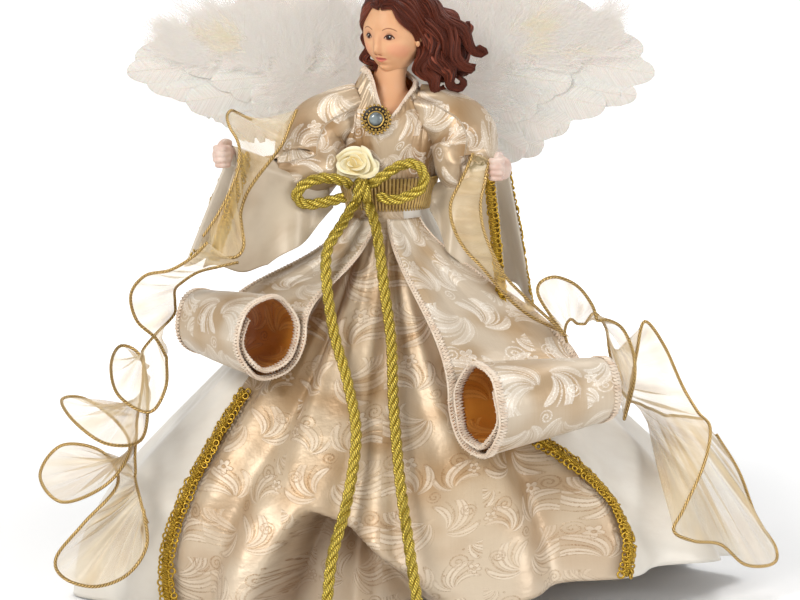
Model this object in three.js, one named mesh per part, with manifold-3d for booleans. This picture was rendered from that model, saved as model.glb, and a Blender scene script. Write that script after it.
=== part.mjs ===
// Angel ornament: a standing fabric angel with feather wings, wire arms and a paper cone inside the skirt.
// Millimetres, +Z up; the angel faces -Y. Right and left are the angel's own sides, so right is -X.

import * as THREE from 'three';
import { mergeVertices } from 'three/addons/utils/BufferGeometryUtils.js';
import Module from 'manifold-3d';

const wasm = await Module();
wasm.setup();

// Fits between pieces
const GAP = 0.4;
const CLOTH = 1.2;
const RIBBON = 1.0;

// The figure's axis, measured from the middle of the footprint
const AXIS_X = -14;

// Paper cone that carries the figure
const CONE_BASE_R = 58;
const CONE_TOP_R = 17;
const CONE_TOP_Z = 216;
const CONE_WALL = 1.6;
const FLANGE_REACH = 5;
const FLANGE_THICK = 2;
const PLUG_HEIGHT = 18;
const DOWEL_R = 3;
const DOWEL_TOP_Z = 316;

// Torso: height, half width and half depth
const TORSO = [
  [CONE_TOP_Z + GAP, 19.5, 19],
  [232, 20.5, 20],
  [252, 26, 21],
  [272, 28, 20],
  [284, 25, 18],
  [294, 21, 15],
  [300, 14, 12],
  [304, 10, 10],
];
const BUST_Z = 272;
const BODICE_BOTTOM_Z = 222;
const BODICE_TOP_Z = 299;
const BODICE_THICK = 2;
const NECK_R = 9;
const NECK_TOP_Z = 322;

// Head and hair
const HEAD_AT = [4, -2, 334];
const HEAD_HALF = [18, 20.5, 26];
const HEAD_TURN = -28;
const HEAD_LEAN = -4;
const HAIR_THICK = 4;

// Skirt
const WAIST_Z = 232;
const HEM_RIGHT_REACH = 184;
const HEM_LEFT_REACH = 206;
const HEM_HALF_DEPTH = 135;
const FLARE_POWER = 1.4;
const FOLDS = 15;
const FOLD_DEPTH = 0.04;
const VALLEY_ANGLE = 9;
const HEM_CLEAR = 1;
const HEM_LIFT = 25;
const HEM_LIFT_ANGLE = 55;
const HEM_LIFT_SPREAD = 80;
const RIGHT_SEAM = [-70, -47];
const LEFT_SEAM = [20, 22, 24, 26.5, 30, 35, 40.5, 47, 50.5, 48.5, 44];
const BACK_SEAM = 125;
const BRAID_WIDTH = 12;
const BRAID_THICK = 2.2;

// Waistband, rose and brooch
const BAND_THICK = 2;
const BAND_TOP_Z = 249;
const ROSE_AT = [-19.4, -26.5, 258.4];
const ROSE_HALF = [15, 7.5, 9.3];
const ROSE_TURN = -24;
const BROOCH_AT = [-7, 284];
const BROOCH_R = 8.5;

// Rolled drapes
const SCROLL_STEP = 0.2;
const SCROLL_TURNS = 1.6;

// Gold cord
const CORD_D = 7.4;
const KNOT_HALF = [7, 5, 7];

// Arms
const SHOULDER_X = 41;
const SHOULDER_Y = 0;
const SHOULDER_Z = 280;
const SLEEVE_CAP_R = 15;
const ARM_WIRE_R = 1;
const ARMHOLE_R = 8.8;

// Wings
const HINGE_X = 11;
const BRACKET_THICK = 2;
const HINGE_Z = 279;
const WING_SWEEP = 6;
const WING_WIRE_R = 1.2;
const BARREL_R = 3.2;
const BARREL_HALF = 15;

const rad = THREE.MathUtils.degToRad;
const lerp = THREE.MathUtils.lerp;
const V = (x, y, z) => new THREE.Vector3(x, y, z);
const points = (list) => list.map((p) => V(...p));

// Solid builders

function closedGeometry(corners, triangles) {
  let volume = 0;
  for (const [a, b, c] of triangles) {
    volume += corners[a].dot(V().crossVectors(corners[b], corners[c]));
  }
  const faces = volume < 0 ? triangles.map(([a, b, c]) => [a, c, b]) : triangles;
  const geometry = new THREE.BufferGeometry();
  const position = corners.flatMap((p) => [p.x, p.y, p.z]);
  geometry.setAttribute('position', new THREE.Float32BufferAttribute(position, 3));
  geometry.setIndex(faces.flat());
  return geometry;
}

function bare(geometry) {
  const plain = new THREE.BufferGeometry();
  plain.setAttribute('position', geometry.getAttribute('position').clone());
  if (geometry.index) plain.setIndex(geometry.index.clone());
  return mergeVertices(plain, 1e-4);
}

function outward(geometry) {
  const plain = bare(geometry);
  const place = plain.getAttribute('position');
  const corners = Array.from({ length: place.count }, (_, i) => V().fromBufferAttribute(place, i));
  const flat = Array.from(plain.index.array);
  const triangles = [];
  for (let i = 0; i < flat.length; i += 3) {
    const [a, b, c] = flat.slice(i, i + 3);
    if (a !== b && b !== c && c !== a) triangles.push([a, b, c]);
  }
  return closedGeometry(corners, triangles);
}

function toSolid(geometry) {
  const plain = bare(geometry);
  return new wasm.Manifold(new wasm.Mesh({
    numProp: 3,
    vertProperties: new Float32Array(plain.getAttribute('position').array),
    triVerts: new Uint32Array(plain.index.array),
  }));
}

function toGeometry(solid) {
  const mesh = solid.getMesh();
  const geometry = new THREE.BufferGeometry();
  geometry.setAttribute('position', new THREE.BufferAttribute(new Float32Array(mesh.vertProperties), 3));
  geometry.setIndex(Array.from(mesh.triVerts));
  return geometry;
}

function join(...parts) {
  return toGeometry(parts.map(toSolid).reduce((whole, part) => whole.add(part)));
}

function cut(part, ...tools) {
  return toGeometry(tools.map(toSolid).reduce((whole, tool) => whole.subtract(tool), toSolid(part)));
}

// A surface with a thickness: point(u, v) for u and v from 0 to 1
function shell(point, columns, rows, thickness, wrap = false) {
  const step = 1e-3;
  const across = wrap ? columns : columns + 1;
  const corners = [];
  for (const side of [0.5, -0.5]) {
    for (let j = 0; j <= rows; j++) {
      for (let i = 0; i < across; i++) {
        const u = i / columns;
        const v = j / rows;
        const alongU = point(u + step, v).sub(point(u - step, v));
        const alongV = point(u, v + step).sub(point(u, v - step));
        const normal = alongU.cross(alongV).normalize();
        corners.push(point(u, v).addScaledVector(normal, side * thickness));
      }
    }
  }
  const id = (side, i, j) => (side * (rows + 1) + j) * across + (wrap ? i % columns : i);
  const triangles = [];
  const quad = (a, b, c, d) => triangles.push([a, b, c], [a, c, d]);
  for (let i = 0; i < columns; i++) {
    for (let j = 0; j < rows; j++) {
      quad(id(0, i, j), id(0, i + 1, j), id(0, i + 1, j + 1), id(0, i, j + 1));
      quad(id(1, i, j), id(1, i, j + 1), id(1, i + 1, j + 1), id(1, i + 1, j));
    }
    quad(id(0, i + 1, 0), id(0, i, 0), id(1, i, 0), id(1, i + 1, 0));
    quad(id(0, i, rows), id(0, i + 1, rows), id(1, i + 1, rows), id(1, i, rows));
  }
  for (let j = 0; j < rows && !wrap; j++) {
    quad(id(0, 0, j), id(0, 0, j + 1), id(1, 0, j + 1), id(1, 0, j));
    quad(id(0, columns, j + 1), id(0, columns, j), id(1, columns, j), id(1, columns, j + 1));
  }
  return closedGeometry(corners, triangles);
}

// A skin over a row of rings, with both ends closed
function loft(rings) {
  const sides = rings[0].length;
  const corners = rings.flat();
  const middle = (ring) => ring.reduce((sum, p) => sum.add(p), V()).divideScalar(sides);
  const first = corners.push(middle(rings[0])) - 1;
  const last = corners.push(middle(rings[rings.length - 1])) - 1;
  const triangles = [];
  for (let i = 0; i < sides; i++) {
    const next = (i + 1) % sides;
    for (let k = 0; k < rings.length - 1; k++) {
      const low = k * sides;
      const high = low + sides;
      triangles.push([low + i, low + next, high + next], [low + i, high + next, high + i]);
    }
    const end = (rings.length - 1) * sides;
    triangles.push([first, next, i], [last, end + i, end + next]);
  }
  return closedGeometry(corners, triangles);
}

function sample(values, t) {
  const at = THREE.MathUtils.clamp(t, 0, 0.99999) * (values.length - 1);
  const low = Math.floor(at);
  return lerp(values[low], values[low + 1], at - low);
}

// A round limb along a line of points, its radius read from an even list
function limb(line, radii, steps, sides) {
  const curve = new THREE.CatmullRomCurve3(line);
  const frames = curve.computeFrenetFrames(steps);
  const rings = [];
  for (let k = 0; k <= steps; k++) {
    const centre = curve.getPointAt(k / steps);
    const radius = sample(radii, k / steps);
    const ring = [];
    for (let i = 0; i < sides; i++) {
      const turn = (2 * Math.PI * i) / sides;
      const spoke = frames.normals[k].clone().multiplyScalar(Math.cos(turn) * radius);
      spoke.addScaledVector(frames.binormals[k], Math.sin(turn) * radius);
      ring.push(spoke.add(centre));
    }
    rings.push(ring);
  }
  return loft(rings);
}

// A cord or wire of even thickness
function strand(line, radius, sides, steps) {
  const section = new THREE.Shape();
  for (let i = 0; i < sides; i++) {
    const turn = (2 * Math.PI * i) / sides;
    if (i === 0) section.moveTo(radius, 0);
    else section.lineTo(radius * Math.cos(turn), radius * Math.sin(turn));
  }
  const extrudePath = new THREE.CatmullRomCurve3(line);
  return outward(new THREE.ExtrudeGeometry(section, { steps, extrudePath, bevelEnabled: false }));
}

function lathe(profile, segments) {
  const line = profile.map(([r, z]) => new THREE.Vector2(r, z));
  return outward(new THREE.LatheGeometry(line, segments).rotateX(Math.PI / 2));
}

function post(radius, bottom, top, sides) {
  const bar = new THREE.CylinderGeometry(radius, radius, top - bottom, sides);
  return outward(bar.rotateX(Math.PI / 2).translate(0, 0, (top + bottom) / 2));
}

function ellipsoid(centre, half, across = 14, up = 9) {
  const ball = new THREE.SphereGeometry(1, across, up).rotateX(Math.PI / 2);
  return outward(ball.scale(...half).translate(...centre));
}

// A flat outline in the XZ plane, its front at y = front
function plate(outline, front, thick) {
  const shape = new THREE.Shape(outline.map(([x, z]) => new THREE.Vector2(x, z)));
  const slab = new THREE.ExtrudeGeometry(shape, { depth: thick, bevelEnabled: false });
  return outward(slab.rotateX(Math.PI / 2).translate(0, front + thick, 0));
}

// Cone, plug and dowel

const coneSlope = (CONE_BASE_R - CONE_TOP_R) / (CONE_TOP_Z - FLANGE_THICK);
const coneInside = (z) => CONE_BASE_R - CONE_WALL - (z - FLANGE_THICK) * coneSlope;

const cone = lathe([
  [CONE_BASE_R - FLANGE_REACH, 0],
  [CONE_BASE_R + FLANGE_REACH, 0],
  [CONE_BASE_R + FLANGE_REACH, FLANGE_THICK],
  [CONE_BASE_R, FLANGE_THICK],
  [CONE_TOP_R, CONE_TOP_Z],
  [coneInside(CONE_TOP_Z), CONE_TOP_Z],
  [coneInside(FLANGE_THICK), FLANGE_THICK],
  [CONE_BASE_R - FLANGE_REACH, FLANGE_THICK],
  [CONE_BASE_R - FLANGE_REACH, 0],
], 28);

const plugTop = CONE_TOP_Z - GAP;
const plugBottom = plugTop - PLUG_HEIGHT;
const conePlug = lathe([
  [DOWEL_R + GAP, plugBottom],
  [coneInside(plugBottom) - 2 * GAP, plugBottom],
  [coneInside(plugTop) - 2 * GAP, plugTop],
  [DOWEL_R + GAP, plugTop],
  [DOWEL_R + GAP, plugBottom],
], 24);
const dowel = post(DOWEL_R, plugBottom + 2, DOWEL_TOP_Z, 16);
const dowelBore = post(DOWEL_R + GAP, plugBottom, DOWEL_TOP_Z + GAP, 16);

// Torso, bust and hair

function torsoHalf(z, which) {
  let k = 1;
  while (k < TORSO.length - 1 && z > TORSO[k][0]) k++;
  const [low, high] = [TORSO[k - 1], TORSO[k]];
  return lerp(low[which], high[which], (z - low[0]) / (high[0] - low[0]));
}

function torsoPoint(angle, z, grow) {
  const across = torsoHalf(z, 1) + grow;
  const deep = torsoHalf(z, 2) + grow;
  return V(across * Math.sin(rad(angle)), -deep * Math.cos(rad(angle)), z);
}

function torsoLoft(bottom, top, grow, sides = 20) {
  const between = TORSO.map((row) => row[0]).filter((z) => z > bottom + 1 && z < top - 1);
  return loft([bottom, ...between, top].map((z) => (
    Array.from({ length: sides }, (_, i) => torsoPoint((360 * i) / sides, z, grow))
  )));
}

function headShape(grow, across = 14, up = 10) {
  const ball = new THREE.SphereGeometry(1, across, up).rotateX(Math.PI / 2);
  const place = ball.getAttribute('position');
  for (let i = 0; i < place.count; i++) {
    const p = V().fromBufferAttribute(place, i);
    const jaw = p.z < 0 ? 1 - 0.3 * p.z * p.z : 1;
    const back = p.y > 0 ? 1.08 : 1;
    place.setXYZ(i, p.x * jaw * (HEAD_HALF[0] + grow), p.y * jaw * back * (HEAD_HALF[1] + grow),
      p.z * (HEAD_HALF[2] + grow));
  }
  return outward(ball);
}

function onHead(geometry) {
  return geometry.rotateY(rad(HEAD_LEAN)).rotateZ(rad(HEAD_TURN)).translate(...HEAD_AT);
}

// One soft wire runs through the bust from shoulder to shoulder, behind the dowel
const shoulderLine = points([[-SHOULDER_X, SHOULDER_Y, SHOULDER_Z], [-24, 4, 280], [0, 6, 280], [24, 4, 280],
  [SHOULDER_X, SHOULDER_Y, SHOULDER_Z]]);
const shoulderWire = strand(shoulderLine, ARM_WIRE_R, 6, 14);
const shoulderBore = strand(shoulderLine, ARM_WIRE_R + GAP, 6, 14);

const torsoCore = cut(torsoLoft(CONE_TOP_Z + GAP, BUST_Z - GAP, 0), dowelBore);
const neckLine = points([[0, 0, 296], [1, 0, 308], [HEAD_AT[0], 0, NECK_TOP_Z]]);
const nose = ellipsoid([0, -HEAD_HALF[1], -4], [2.4, 2.6, 4], 8, 6);
const bust = cut(
  join(
    torsoLoft(BUST_Z, TORSO[TORSO.length - 1][0], 0),
    limb(neckLine, [NECK_R + 1, NECK_R, NECK_R], 4, 14),
    onHead(headShape(0)),
    onHead(nose),
  ),
  dowelBore,
  shoulderBore,
);

const hairCap = cut(
  onHead(headShape(HAIR_THICK, 12, 9).translate(0, 2, 2)),
  onHead(ellipsoid([0, -HEAD_HALF[1] - 8, -6], [17, 20, 27], 12, 8)),
);
const LOCKS = [
  [[[8, -12, 354], [24, -12, 352], [38, -8, 345], [50, -6, 336], [56, -8, 342]], [6, 7, 6, 4, 1.5]],
  [[[10, 0, 350], [28, 0, 340], [42, 0, 331], [50, -2, 322], [46, -6, 316]], [8, 9, 7, 4, 1.5]],
  [[[14, 6, 338], [26, 6, 326], [33, 4, 317], [40, 0, 312]], [8, 8, 6, 2]],
  [[[-9, -10, 352], [-18, -10, 344], [-20, -10, 333], [-17, -11, 325]], [4, 4, 3, 1.5]],
];
const locks = LOCKS.map(([line, radii]) => limb(points(line), radii, 5, 6));
const hair = cut(
  join(hairCap, ...locks),
  onHead(headShape(GAP)),
  limb(neckLine, [NECK_R + 2, NECK_R + 1.5, NECK_R + 1.5], 4, 14),
);

// Bodice, collar, waistband, brooch and rose

const shoulder = (side) => V(side * SHOULDER_X, SHOULDER_Y, SHOULDER_Z);
const sleeveCap = (side, grow) => (
  ellipsoid(shoulder(side).toArray(), Array(3).fill(SLEEVE_CAP_R + grow), 12, 8)
);
const neckOpening = plate([[BROOCH_AT[0], 289], [12, 308], [-22, 308]], -40, 38);
const bodiceOut = GAP + BODICE_THICK;
const bodice = cut(
  torsoLoft(BODICE_BOTTOM_Z, BODICE_TOP_Z, bodiceOut),
  torsoLoft(BODICE_BOTTOM_Z - 2, BODICE_TOP_Z + 2, GAP),
  sleeveCap(-1, 2 * GAP),
  sleeveCap(1, 2 * GAP),
  neckOpening,
  shoulderBore,
);

const NECKLINE = [[-34, 291], [-52, 295], [-84, 300], [-130, 301], [-180, 302], [-230, 301], [-276, 300],
  [-322, 298], [-344, 295]];
const necklineOut = bodiceOut + 1.4;
const neckline = new THREE.CatmullRomCurve3(NECKLINE.map(([angle, z]) => torsoPoint(angle, z, necklineOut)));
const collar = shell((u, v) => {
  const base = neckline.getPoint(THREE.MathUtils.clamp(u, 0, 1));
  const out = V(base.x, base.y, 0).normalize();
  return base.addScaledVector(out, 2 * v).add(V(0, 0, 6 * v));
}, 22, 1, 1);

const waistHalf = (which) => torsoHalf(WAIST_Z, which) + bodiceOut + GAP + CLOTH / 2;
const bandOut = bodiceOut + 2 * GAP + BAND_THICK / 2;
const waistband = shell((u, v) => (
  torsoPoint(360 * u, lerp(BAND_TOP_Z, WAIST_Z + GAP, v), bandOut)
), 28, 1, BAND_THICK, true);

const broochBack = torsoPoint(0, BROOCH_AT[1] - BROOCH_R, bodiceOut).y;
const broochDisc = new THREE.CylinderGeometry(BROOCH_R - 2, BROOCH_R - 2, 2, 20);
const BEADS = 12;
const beads = Array.from({ length: BEADS }, (_, i) => {
  const turn = (2 * Math.PI * i) / BEADS;
  const reach = BROOCH_R - 1.7;
  return ellipsoid([reach * Math.cos(turn), 0, reach * Math.sin(turn)], [1.9, 1, 1.9], 5, 3);
});
const broochSetting = join(outward(broochDisc), ...beads);
broochSetting.translate(BROOCH_AT[0], broochBack - 1, BROOCH_AT[1]);
const stoneDome = ellipsoid([0, 0, 0], [4.2, 2.4, 4.2], 14, 8);
const stoneTrim = plate([[-6, -6], [6, -6], [6, 6], [-6, 6]], 0, 4);
const broochStone = cut(stoneDome, stoneTrim).translate(BROOCH_AT[0], broochBack - 2 - GAP, BROOCH_AT[1]);

function roseShape() {
  const ball = new THREE.SphereGeometry(1, 20, 9);
  const place = ball.getAttribute('position');
  for (let i = 0; i < place.count; i++) {
    const p = V().fromBufferAttribute(place, i);
    const turn = Math.atan2(p.z, p.x);
    const petal = 1 + 0.08 * Math.cos(5 * turn + 4 * p.y) * (1 - p.y * p.y);
    place.setXYZ(i, p.x * petal * ROSE_HALF[0], p.y * ROSE_HALF[1], p.z * petal * ROSE_HALF[2]);
  }
  return outward(ball).rotateZ(rad(ROSE_TURN)).translate(...ROSE_AT);
}

// Skirt panels and braid

function hemEnd(angle) {
  const away = THREE.MathUtils.clamp((angle - HEM_LIFT_ANGLE) / HEM_LIFT_SPREAD, -1, 1);
  const lift = HEM_CLEAR + HEM_LIFT * Math.cos((Math.PI / 2) * away) ** 2;
  return 1 - lift / WAIST_Z;
}

// A point of the skirt: angle from the front, v from the waist to the hem, and a distance outside the cloth
function skirtPoint(angle, v, out = 0) {
  const t = Math.max(v, 0) * hemEnd(angle);
  const flare = Math.sin((Math.PI / 2) * t ** FLARE_POWER);
  const fold = 1 - FOLD_DEPTH * t ** 1.5 * Math.cos(rad(FOLDS * (angle - VALLEY_ANGLE)));
  const reach = angle > 0 && angle < 180 ? HEM_LEFT_REACH : HEM_RIGHT_REACH;
  const across = lerp(waistHalf(1), reach, flare) * fold + out;
  const deep = lerp(waistHalf(2), HEM_HALF_DEPTH, flare) * fold + out;
  return V(across * Math.sin(rad(angle)), -deep * Math.cos(rad(angle)), WAIST_Z * (1 - t));
}

const seamAngle = (seam, v) => sample(seam, v);

function skirtPanel(from, to, columns) {
  return shell((u, v) => {
    const left = seamAngle(from, v);
    const right = seamAngle(to, v);
    const inset = THREE.MathUtils.radToDeg(GAP / skirtPoint(right, v).setZ(0).length());
    return skirtPoint(lerp(left + inset, right - inset, u), v);
  }, columns, 7, CLOTH);
}

function skirtBraid(seam, inward, top) {
  const out = CLOTH / 2 + 3 * GAP + BRAID_THICK / 2;
  return shell((u, v) => {
    const down = lerp(top, 0.985, v);
    const angle = seamAngle(seam, down);
    const degrees = THREE.MathUtils.radToDeg(BRAID_WIDTH / skirtPoint(angle, down).setZ(0).length());
    return skirtPoint(angle + inward * degrees * lerp(0.05, 1, u), down, out);
  }, 2, 12, BRAID_THICK);
}

// Rolled drapes: each runs from the waist to a roll about the line near-far

const DRAPES = {
  right: { near: [-67.6, -80, 165], far: [-111, -32, 167], roll: [27, 20], waist: [-15, -55] },
  left: { near: [50, -112, 129], far: [125, -69, 133], roll: [30, 20], waist: [0, 40] },
};
const ROLL_SHARE = 0.62;
const DRAPE_OUT = 3.4;
const DRAPE_ROWS = 36;

function drapePoint(side, across, along) {
  const { near, far, roll, waist } = DRAPES[side];
  const full = lerp(roll[0], roll[1], across);
  const centre = V(...near).lerp(V(...far), across);
  const width = V(...far).sub(V(...near));
  const out = V(width.y, -width.x, 0).normalize();
  if (out.dot(centre) < 0) out.negate();
  const hang = 1 - ROLL_SHARE;
  if (along > hang) {
    const turn = ((along - hang) / ROLL_SHARE) * SCROLL_TURNS * 2 * Math.PI;
    const radius = full * (1 - (SCROLL_STEP * turn) / (2 * Math.PI));
    return centre.addScaledVector(out, -radius * Math.cos(turn)).add(V(0, 0, -radius * Math.sin(turn)));
  }
  const angle = lerp(waist[0], waist[1], across);
  const start = skirtPoint(angle, 0.03, DRAPE_OUT);
  const lead = skirtPoint(angle, 0.16, DRAPE_OUT + 3.6);
  const end = centre.addScaledVector(out, -full);
  const approach = end.clone().add(V(0, 0, (start.z - end.z) * 0.4));
  return new THREE.CubicBezierCurve3(start, lead, approach, end).getPoint(Math.max(along, 0) / hang);
}

const drape = (side) => shell((u, v) => drapePoint(side, u, v), 3, DRAPE_ROWS, CLOTH);

// A thin stitched welt along the drape's front edge
function drapeEdging(side) {
  const gap = (CLOTH + GAP) / 2;
  return shell((u, v) => {
    const edge = drapePoint(side, 0, v);
    const inner = drapePoint(side, 0.05, v);
    const ahead = edge.clone().sub(inner).normalize();
    return edge.addScaledVector(ahead, gap + 1.8 * u);
  }, 1, DRAPE_ROWS, 1.6);
}

// Gold cord bow

const KNOT_AT = [-15.5, -28.4, 241.5];
const CORDS = {
  bow_right_loop: [[-22.5, -30, 246.4], [-30, -36, 250], [-40, -37, 250.6], [-49, -37.5, 247], [-53.5, -37.5, 240.5],
    [-48.5, -37, 235.6], [-38, -36, 236.4], [-25.9, -31.3, 238.7]],
  bow_left_loop: [[-9.9, -29.7, 246.1], [-2, -34, 252.5], [7, -35.5, 258], [15.5, -36, 259], [21, -36, 253],
    [19, -36, 244.5], [10, -36, 239.5], [2, -34.5, 237.8], [-5.7, -30.9, 239.5]],
  right_tail: [[-19.6, -30.5, 235.4], [-26.5, -39.6, 224.5], [-35, -51, 211], [-35.5, -61, 193], [-31, -69, 164],
    [-23, -80, 137], [-18, -99, 110], [-23, -118, 76], [-31, -132, 48], [-34, -140, 22], [-34, -141, 14.5]],
  left_tail: [[-11.8, -30.2, 234.9], [-7.6, -38.6, 224.5], [-5, -43, 210], [-2, -52, 187], [2, -67, 159],
    [3, -84, 131.5], [4, -93, 118], [7, -112, 87], [12, -130, 54], [16, -139, 28], [18, -141, 14.5]],
};
const CORD_STEPS = { bow_right_loop: 13, bow_left_loop: 13, right_tail: 20, left_tail: 20 };
const cordPiece = (name) => strand(points(CORDS[name]), CORD_D / 2, 8, CORD_STEPS[name]);
const knot = ellipsoid(KNOT_AT, KNOT_HALF, 14, 9);

function endKnot(name) {
  const tip = CORDS[name].at(-1);
  const half = CORD_D * 0.85;
  return ellipsoid([tip[0], tip[1], tip[2] - half - GAP], [half, half, half], 10, 8);
}

// Organza falls: a ruffled outer edge against a gathered inner edge

const FALLS = {
  right: {
    outer: [[-113, -62, 207], [-126, -60, 195], [-124.7, -46.9, 174], [-135, -58, 150], [-136, -70, 126],
      [-156, -70, 128], [-162, -48, 142], [-150, -36, 147], [-142, -64, 122], [-146, -86, 105],
      [-180, -84, 115], [-190, -60, 122], [-166, -44, 110], [-150, -72, 96], [-162, -92, 80],
      [-190, -86, 70], [-202, -64, 80], [-182, -48, 92], [-158, -80, 80], [-174, -104, 60],
      [-190, -104, 40], [-182, -102, 26], [-160, -108, 25], [-143, -108, 40], [-140, -104, 58]],
    inner: [[-110, -60, 201], [-122, -56, 193], [-124.5, -46, 184], [-122.7, -36.8, 173], [-136, -43, 160],
      [-144, -43, 150], [-144, -38, 144], [-144, -40, 138], [-144, -48, 130], [-145, -56, 121],
      [-146, -58, 115], [-147, -56, 109], [-147, -58, 103], [-147, -66, 97], [-147, -70, 92],
      [-147, -69, 87], [-147, -68, 83], [-147, -71, 79], [-145, -80, 75], [-143, -87, 71],
      [-142, -89, 68], [-141, -91, 65], [-140, -93, 62], [-139, -94, 60], [-138, -95, 58]],
  },
  left: {
    outer: [[103.7, -68.5, 148.2], [113, -60, 153.5], [124, -50, 164], [138, -40, 162], [145, -46, 146],
      [142, -56, 120], [143, -40, 130], [152, -24, 163], [164, -20, 149], [176, -26, 124],
      [188, -50, 107], [184, -66, 86], [170, -85, 62], [168, -88, 48], [194, -72, 40],
      [212, -60, 25], [229, -44, 22], [229, -30, 36], [210, -20, 72], [196, -18, 97]],
    inner: [[100, -55, 161], [113, -42, 167], [123, -30, 170], [129, -26, 160], [131, -31, 146],
      [136, -37, 128], [142, -34, 119], [146, -28, 116], [150, -23, 114], [154, -24, 112],
      [157, -30, 112], [161, -36, 111], [164, -39, 110], [168, -38, 110], [172, -35, 109],
      [176, -31, 108], [179, -28, 107], [182, -25, 106], [185, -22, 105], [188, -19, 104]],
  },
};

function strip(outer, inner, columns, rows) {
  const far = new THREE.CatmullRomCurve3(points(outer));
  const near = new THREE.CatmullRomCurve3(points(inner));
  const clamp = (t) => THREE.MathUtils.clamp(t, 0, 1);
  return shell((u, v) => near.getPoint(clamp(v)).lerp(far.getPoint(clamp(v)), u), columns, rows, RIBBON);
}

const fall = (side) => strip(FALLS[side].outer, FALLS[side].inner, 2, 48);

// Arms

const ARMS = {
  right: {
    side: -1,
    bones: [[-44.5, -2, 273], [-48.6, -7.5, 260], [-54, -15, 252], [-73, -25, 256], [-88, -36, 262]],
    sleeve: [[-41, 0, 280], [-48.5, -6, 266], [-50, -12, 253], [-62, -21, 253]],
    hand: [-96, -43, 265],
    bell: { from: [-58, -16, 230.1], to: [-92, -38, 256.2], drop: [14, 46, 54], lean: [0, -12, -24] },
    ribbon: {
      outer: [[-57, -24, 290], [-64, -35, 270], [-76, -43.4, 256], [-88, -54, 240], [-102, -58, 222],
        [-111, -56, 214]],
      inner: [[-56, -8, 298], [-74, -12, 291], [-84, -24, 288], [-84, -46, 278], [-87, -60, 258],
        [-97, -64, 238]],
    },
  },
  left: {
    side: 1,
    bones: [[44, -2, 273], [45.5, -7, 259], [47, -13, 251], [54, -23, 251], [62, -31, 254]],
    sleeve: [[41, 0, 280], [48.3, -6, 266], [46.5, -13, 252], [50, -19, 250]],
    hand: [66, -40, 257],
    bell: { from: [40, -6, 229.8], to: [68, -28, 246.6], drop: [12, 46, 80], lean: [2, 6, 14] },
    ribbon: {
      outer: [[46, -42, 264], [36, -50, 241], [40, -56, 226], [55, -62, 206], [78, -62, 180], [96, -54, 172]],
      inner: [[57.9, -44, 262], [57, -54, 246], [58, -66, 226], [68, -70, 204], [84, -66, 187], [98, -55, 179]],
    },
  },
};
const SLEEVE_RADII = [SLEEVE_CAP_R - 1, 16.5, 17.5, 14.5];
const PAD_RADII = [9, 9, 8.5, 7.5, 6.5];

// The arm wire starts beside the end of the shoulder wire, where the arm bends
const wireStart = ({ side, bones }) => shoulder(side).lerp(V(...bones[0]), 0.22);
const wireLine = (arm) => [wireStart(arm), ...points(arm.bones), V(...arm.hand)];
const armWire = (arm) => strand(wireLine(arm), ARM_WIRE_R, 6, 10);
const wireBore = (arm) => strand(wireLine(arm), ARM_WIRE_R + GAP, 6, 10);
const padding = ({ bones }, grow) => limb(points(bones), PAD_RADII.map((r) => r + grow), 6, 8);
const armPadding = (arm) => cut(padding(arm, 0), wireBore(arm));

function sleeve(arm) {
  const body = join(sleeveCap(arm.side, 0), limb(points(arm.sleeve), SLEEVE_RADII, 5, 12));
  const pivot = shoulder(arm.side);
  const inward = pivot.clone().add(V(-arm.side * 2 * SLEEVE_CAP_R, 0, 0));
  const armhole = limb([pivot, inward], [ARMHOLE_R, ARMHOLE_R], 1, 10);
  const toElbow = pivot.clone().lerp(V(...arm.bones[0]), 1.4);
  const turnRoom = limb([pivot, toElbow], [ARMHOLE_R, ARMHOLE_R], 1, 10);
  const bendRoom = ellipsoid(pivot.toArray(), Array(3).fill(ARMHOLE_R), 8, 6);
  return cut(body, padding(arm, GAP), armhole, turnRoom, bendRoom);
}

function hand(arm) {
  const palm = ellipsoid([0, 0, 0], [7.5, 7, 8], 8, 6);
  const fingers = [-4.6, -1.5, 1.6, 4.6].map((z) => (
    limb(points([[4.5, -3, z], [2, -8, z], [-4, -8.5, z], [-7, -3, z]]), [2, 2.2, 2.2, 1.8], 3, 5)
  ));
  const thumb = limb(points([[5, -2, 5], [2, -5, 9], [-2, -7, 9.5]]), [2.4, 2.2, 1.6], 3, 5);
  const fist = join(palm, ...fingers, thumb);
  fist.scale(-arm.side, 1, 1);
  const whole = outward(fist).rotateZ(rad(-30 * arm.side)).translate(...arm.hand);
  return cut(whole, wireBore(arm), padding(arm, GAP));
}

// The bell sleeve hangs folded under the forearm; spread is the distance outside its cloth
function bellPoint({ bell }, u, v, spread) {
  const top = V(...bell.from).lerp(V(...bell.to), u);
  const reach = V(...bell.to).sub(V(...bell.from)).setZ(0).normalize();
  const front = V(reach.y, -reach.x, 0);
  if (front.y > 0) front.negate();
  const way = 2 * v - 1;
  const bend = 0.24;
  const radius = 5 + spread;
  if (Math.abs(way) < bend) {
    const turn = (way / bend) * (Math.PI / 2);
    return top.addScaledVector(front, -radius * Math.sin(turn)).add(V(0, 0, radius * Math.cos(turn) - 5));
  }
  const down = (Math.abs(way) - bend) / (1 - bend);
  top.addScaledVector(front, -Math.sign(way) * (radius + 7 * down));
  return top.add(V(sample(bell.lean, u) * down, 0, -5 - sample(bell.drop, u) * down));
}

const bellSleeve = (arm) => shell((u, v) => bellPoint(arm, u, v, 0), 4, 16, CLOTH);

function cuffBraid(arm) {
  const out = CLOTH / 2 + GAP + BRAID_THICK / 2;
  return shell((u, v) => bellPoint(arm, lerp(0.78, 0.98, u), lerp(0.01, 0.4, v), out), 1, 9, BRAID_THICK);
}

const ribbonWrap = ({ ribbon }) => strip(ribbon.outer, ribbon.inner, 2, 14);

// Wings, drawn flat about the hinge and then swept back

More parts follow.
